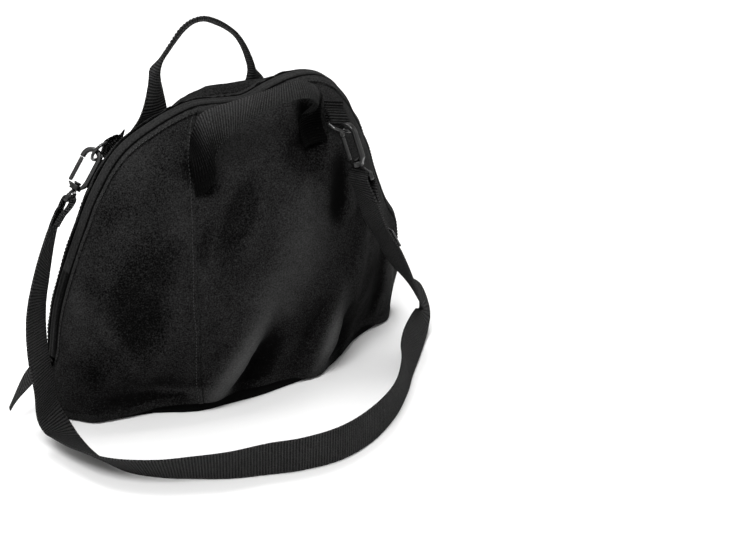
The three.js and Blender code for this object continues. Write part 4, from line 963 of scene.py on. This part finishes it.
# The rear handle folds in half over its grip: one edge, the fold, the other edge
rearHandleRows = [
    ((-39, 49, 255.6), (-58.5, 53, 255.6), (-78, 56.5, 255.6)),
    ((-39.5, 44, 267.8), (-57.5, 48, 267.8), (-75.5, 52, 267.8)),
    ((-40, 38, 279.8), (-56.5, 41.5, 279.8), (-72.5, 44, 279.8)),
    ((-39, 40, 291), (-54.5, 37, 291.8), (-69.5, 38, 292)),
    ((-39.5, 43, 302), (-52.5, 35.5, 303.5), (-65.5, 36, 306)),
    ((-40.5, 45, 313), (-51, 34.5, 315), (-62, 36, 319.5)),
    ((-41.5, 46.5, 322), (-50.3, 33.5, 326), (-58.5, 38, 329.5)),
    ((-41.5, 48, 330.5), (-49.6, 33, 335.5), (-53.5, 43, 336.5)),
    ((-36.5, 48, 338.5), (-45.6, 33.5, 346), (-41, 47, 341.5)),
    ((-24, 48, 352), (-36, 34, 359), (-27, 48, 354.5)),
    ((-9, 48, 365.5), (-20.5, 33.5, 376), (-12, 48, 369)),
    ((2, 47, 371), (-7, 32.5, 382), (0, 47, 374.5)),
    ((14, 47, 370), (6.4, 32, 381.2), (12.5, 47, 373.8)),
    ((25, 47, 364), (18, 32, 375.5), (24, 47, 367.5)),
    ((35.5, 46.5, 357), (30, 32.5, 366.5), (36.5, 46.5, 359.5)),
    ((45, 45, 348), (42.5, 32.5, 354), (46.5, 45, 349.5)),
    ((51, 43, 338), (50.5, 33, 341), (54.5, 43, 339.5)),
    ((57, 42, 321), (58.5, 33.5, 323), (62, 42, 321.5)),
    ((59.5, 42, 304.5), (63.5, 35.5, 305.5), (68.5, 42, 304.5)),
    ((49, 37.5, 291.4), (64.2, 41, 291.4), (79.5, 45, 291.4)),
    ((44.5, 46, 279.4), (64.3, 48.5, 279.4), (84, 51, 279.4)),
    ((44.5, 51, 267.6), (64.2, 53.5, 267.6), (84, 55.5, 267.6)),
    ((44.5, 55, 255.5), (64.2, 57, 255.5), (84, 58.5, 255.5)),
]


handle = {"thick": 0.0019, "width": 0.04, "columns": 12, "step": 0.0035}


def handlePiece(name, rows, node, paintedShades=None):
    edges = np.array(rows) / 1000
    return ribbon(
        name, edges, handle["thick"], handle["columns"], handle["step"], node, handle["width"], paintedShades
    )


frontGrip = handlePiece("frontHandleWebbing", frontHandleRows, "front_handle", frontHandleShading)
rearGrip = handlePiece("rearHandleWebbing", rearHandleRows, "rear_handle")
print("handles")

# The tab is darkened all over with painted shade
tab = {
    "width": 0.025, "thick": 0.0015, "length": 0.024, "tail": 0.011, "wire": 0.0018, "gap": 0.0003,
    "tone": -1.2,
}


def ringTabPiece(name, anchor, node):
    radius = tab["wire"] + tab["gap"] + tab["thick"] / 2
    layer = tab["thick"] + tab["gap"]
    rows = [(tab["length"], -tab["wire"] + 0.0026), (tab["length"] * 0.65, -tab["wire"] + layer * 0.5)]
    rows += [(tab["tail"] + 0.002, layer * 0.6)]
    rows += [(-sin(k * pi / 6) * radius, cos(k * pi / 6) * radius) for k in range(7)]
    rows += [(tab["tail"], -radius + 0.0003)]
    up, outward = -anchor["down"], anchor["outward"]
    middles = [anchor["bar"] + up * away + outward * height for away, height in rows]
    edges = bandRows(middles, [anchor["across"]] * len(middles), tab["width"])
    shade = [tab["tone"]] * len(rows)
    ribbon(name, edges, tab["thick"], 6, 0.0012, node, tab["width"], shade)


ringTabPiece("frontRingWebbing", anchors["front"], "front_ring_tab")
ringTabPiece("rearRingWebbing", anchors["rear"], "rear_ring_tab")
print("ring tabs")

# The zip

# The grooves beside the hems and the zip's low left end are darkened with painted shade
zipBand = {
    "steps": 420, "thick": 0.0009, "width": 0.021, "groove": 0.0008, "grooveShade": -3.0,
    "tone": 0.4, "lowEndShade": -1.2, "lowShare": 0.13,
}
# Across the band: y and depth below the hems' outer faces
bandProfile = [
    (-0.0105, 0.0042), (-0.0076, 0.0042), (-0.0062, 0.0036), (-0.0056, 0.0012), (-0.0051, 0.0002),
    (-0.0036, -0.0006), (-0.0014, -0.0004), (0, 0), (0.0014, -0.0004), (0.0036, -0.0006),
    (0.0051, 0.0002), (0.0056, 0.0012), (0.0062, 0.0036), (0.0076, 0.0042), (0.0105, 0.0042),
]


def bandPoint(share, y, depth):
    x, z = zipAt(share)
    alongX, alongZ = zipOut(share)
    return np.stack([x + alongZ * depth, y + 0 * x, z - alongX * depth], axis=-1)


def zipPieces():
    profile = np.array(bandProfile)

    def place(u, v):
        j = np.rint(v * (len(profile) - 1)).astype(int)
        share = mix(0.002, 0.998, u)
        spots = bandPoint(share, -profile[j, 0], profile[j, 1])
        # Painted shade in the grooves and at the low left end
        tone = np.where(u < zipBand["lowShare"], zipBand["lowEndShade"], zipBand["tone"])
        return spots, np.where(profile[j, 1] > zipBand["groove"], zipBand["grooveShade"], tone)

    metres = (zipLength, zipBand["width"])
    piece = gridPiece("zipTapes", zipBand["steps"], len(profile) - 1, place, metres)
    applyModifier(piece, "SOLIDIFY", thickness=zipBand["thick"], offset=-1)
    finishPiece(piece, "tape", "bag", ["zip_tape_front", "zip_tape_rear"])


zipPieces()


# A small round bead's points and faces
def beadShape(segments, rings):
    bpy.ops.object.select_all(action="DESELECT")
    bpy.ops.mesh.primitive_uv_sphere_add(segments=segments, ring_count=rings, radius=1)
    model = bpy.context.object
    shape = np.array([v.co[:] for v in model.data.vertices])
    faces = [tuple(p.vertices) for p in model.data.polygons]
    bpy.data.objects.remove(model)
    return shape, faces


# One piece of many beads, each at its own spots
def beadPiece(name, spots, faces):
    count = len(spots[0])
    allFaces = [tuple(i + k * count for i in face) for k in range(len(spots)) for face in faces]
    mesh = bpy.data.meshes.new(name)
    mesh.from_pydata(np.vstack(spots).tolist(), [], allFaces)
    piece = bpy.data.objects.new(name, mesh)
    bpy.context.collection.objects.link(piece)
    return piece


tooth = {
    "step": 0.0016, "long": 0.00052, "width": 0.0042, "high": 0.0004, "stagger": 0.00035,
    "sink": 0.0002, "from": 0.006, "to": 0.972, "share": 0.97,
}


# One low tooth is modelled once, and its copies lie across the zip's middle
def toothRow():
    shape, faces = beadShape(6, 4)
    count = int(zipLength * tooth["share"] / tooth["step"])
    share = np.linspace(tooth["from"], tooth["to"], count)
    x, z = zipAt(share)
    alongX, alongZ = zipOut(share)
    spot = shape * (tooth["long"], tooth["width"] / 2, tooth["high"])
    out = spot[:, 2] - tooth["sink"]
    points = []
    for k in range(count):
        side = tooth["stagger"] * (1 if k % 2 else -1)
        px = x[k] + spot[:, 0] * alongX[k] - out * alongZ[k]
        pz = z[k] + spot[:, 0] * alongZ[k] + out * alongX[k]
        points.append(np.stack([px, spot[:, 1] + side, pz], axis=1))
    piece = beadPiece("zipTeeth", points, faces)
    finishPiece(piece, "coil", "bag", ["zip_coil"])


toothRow()

leaf = {
    "length": 0.062, "knee": (-0.35, 0.08, -0.06), "tip": (-0.66, 0.33, -0.88), "below": 0.003,
    "width": 0.022, "narrow": 0.24, "rows": 13, "cup": 0.001, "thick": 0.0013, "ribs": 0.02,
}


# The leaf-shaped tab at the zip's left end, on a bent line that droops
def endTabPiece():
    x, z = zipAt(np.array([0.0]))
    start = np.array([x[0], 0, z[0] - leaf["below"]])
    knee = start + np.array(leaf["knee"]) * leaf["length"]
    tip = start + np.array(leaf["tip"]) * leaf["length"]
    rows = []
    for k in range(leaf["rows"]):
        w = k / (leaf["rows"] - 1)
        middle = start * (1 - w) ** 2 + knee * 2 * w * (1 - w) + tip * w * w
        along = unit((knee - start) * (1 - w) + (tip - knee) * w)
        across = squareTo(np.array([0.3 * w, 1, 0]), along)
        full = sin(pi * min(1, w * 0.92 + 0.04)) ** 2
        half = across * leaf["width"] * mix(leaf["narrow"], 1, full) / 2
        cup = np.cross(across, along) * leaf["cup"] * full
        rows.append((middle - half, middle + cup, middle + half))
    ribbon("zipEndLeaf", rows, leaf["thick"], 8, 0.002, "zip_end_tab", leaf["ribs"])


endTabPiece()
print("zip")

# Hardware

mouldings = [
    # node, new name, body, slot, finish, voxel, smoothing steps
    ("front_hook", "frontSnapHook", "bag", "hardware_plastic", "plastic", 0.00045, 4),
    ("rear_hook", "rearSnapHook", "bag", "hardware_plastic", "plastic", 0.00045, 4),
    ("front_hook_gate", "frontSnapGate", "front_gate", "hardware_plastic", "plastic", 0.0003, 3),
    ("rear_hook_gate", "rearSnapGate", "rear_gate", "hardware_plastic", "plastic", 0.0003, 3),
    ("front_hook_swivel", "frontSwivelLoop", "bag", "hardware_plastic", "plastic", 0.00045, 3),
    ("rear_hook_swivel", "rearSwivelLoop", "bag", "hardware_plastic", "plastic", 0.00045, 3),
    ("strap_slider", "strapAdjuster", "bag", "hardware_plastic", "plastic", 0.00045, 3),
    ("zip_slider", "zipSliderBody", "bag", "zip_metal", "metal", 0.00022, 2),
    ("zip_puller", "zipPull", "puller", "zip_metal", "metal", 0.00025, 2),
]


def mouldedPiece(node, name, body, slot, finish, voxel, steps):
    piece = cadCopy(node, name)
    applyModifier(piece, "REMESH", mode="VOXEL", voxel_size=voxel)
    applyModifier(piece, "SMOOTH", factor=0.5, iterations=steps)
    finishPiece(piece, finish, body, [node], 60)


def ringPiece(node, name):
    ring = cadCopy(node, name)
    applyModifier(ring, "SUBSURF", levels=2, render_levels=2)
    finishPiece(ring, "darkMetal", "bag", [node], 80)


for row in mouldings:
    mouldedPiece(*row)
ringPiece("front_d_ring", "frontRing")
ringPiece("rear_d_ring", "rearRing")
print("hardware")

# Stitching

stitch = {
    "length": 0.0027, "step": 0.0041, "radius": 0.00038, "flat": 1.2, "lift": 0.0002,
    "fromHem": 0.0068, "fromSeam": 0.0048,
}


# Columns of a table of points read at places along its run
def readLine(where, run, points):
    return np.stack([np.interp(where, run, points[:, k]) for k in range(3)], axis=-1)


# Dashes of thread along a line of points lying on a face
def stitchRun(name, points, normals):
    points, normals = np.asarray(points), np.asarray(normals)
    run = runAlong(points)
    at = np.arange(stitch["step"] / 2, run[-1], stitch["step"])
    near = 0.0008
    spots = readLine(at, run, points)
    ahead = readLine(np.minimum(at + near, run[-1]), run, points)
    along = unit(ahead - readLine(np.maximum(at - near, 0), run, points))
    up = unit(readLine(at, run, normals))
    side = unit(np.cross(up, along))
    shape, faces = beadShape(6, 5)
    long, wide, high = stitch["length"] / 2, stitch["radius"] * stitch["flat"], stitch["radius"]
    dashes = [
        spots[k] + up[k] * stitch["lift"] + shape[:, 2:3] * along[k] * long
        + shape[:, 0:1] * side[k] * wide + shape[:, 1:2] * up[k] * high
        for k in range(len(at))
    ]
    finishPiece(beadPiece(name, dashes, faces), "thread", "bag")


# The line on a panel that lies a given way below its top edge
def panelLine(panel, way):
    points, normals, fromTop = panel
    columns = range(2, len(points) - 2)
    line = [readLine(way, fromTop[i][::-1], points[i][::-1]) for i in columns]
    out = [readLine(way, fromTop[i][::-1], normals[i][::-1]) for i in columns]
    return line, out


for name, panel in (("front", frontCloth), ("side", sideCloth), ("rear", rearCloth)):
    stitchRun(name + "HemStitches", *panelLine(panel, stitch["fromHem"]))


def seamStitches():
    points, normals = sideCloth[:2]
    line, out = [], []
    for j in range(2, points.shape[1] - 3):
        across = points[:, j][::-1]
        line.append(readLine(stitch["fromSeam"], runAlong(across), across))
        out.append(normals[-4, j])
    stitchRun("seamStitches", line, out)


seamStitches()


# Along a ribbon, a share of the way from its middle to one edge, on the face that looks outwards
def bandStitches(name, band, w, outward, start, end):
    a, m, b, run = band
    line = a * (w * w - w) / 2 + m * (1 - w * w) + b * (w * w + w) / 2
    slope = unit(b * (w + 0.5) + a * (w - 0.5) - 2 * m * w)
    face = unit(np.cross(slope, unit(np.gradient(m, axis=0))))
    flip = np.sign(np.sum(face * np.asarray(outward), axis=1, keepdims=True))
    flip[flip == 0] = 1
    keep = (run >= start * run[-1]) & (run <= end * run[-1])
    face = face * flip
    stitchRun(name, (line + face * handle["thick"] / 2)[keep], face[keep])


bandStitches("frontHandleStitches", frontGrip, -0.86, (-0.2, -0.9, 0.4), 0.12, 0.62)
bandStitches("rearHandleStitches", rearGrip, 0.8, (0, 0.9, 0.3), 0.02, 0.98)
print("stitching")
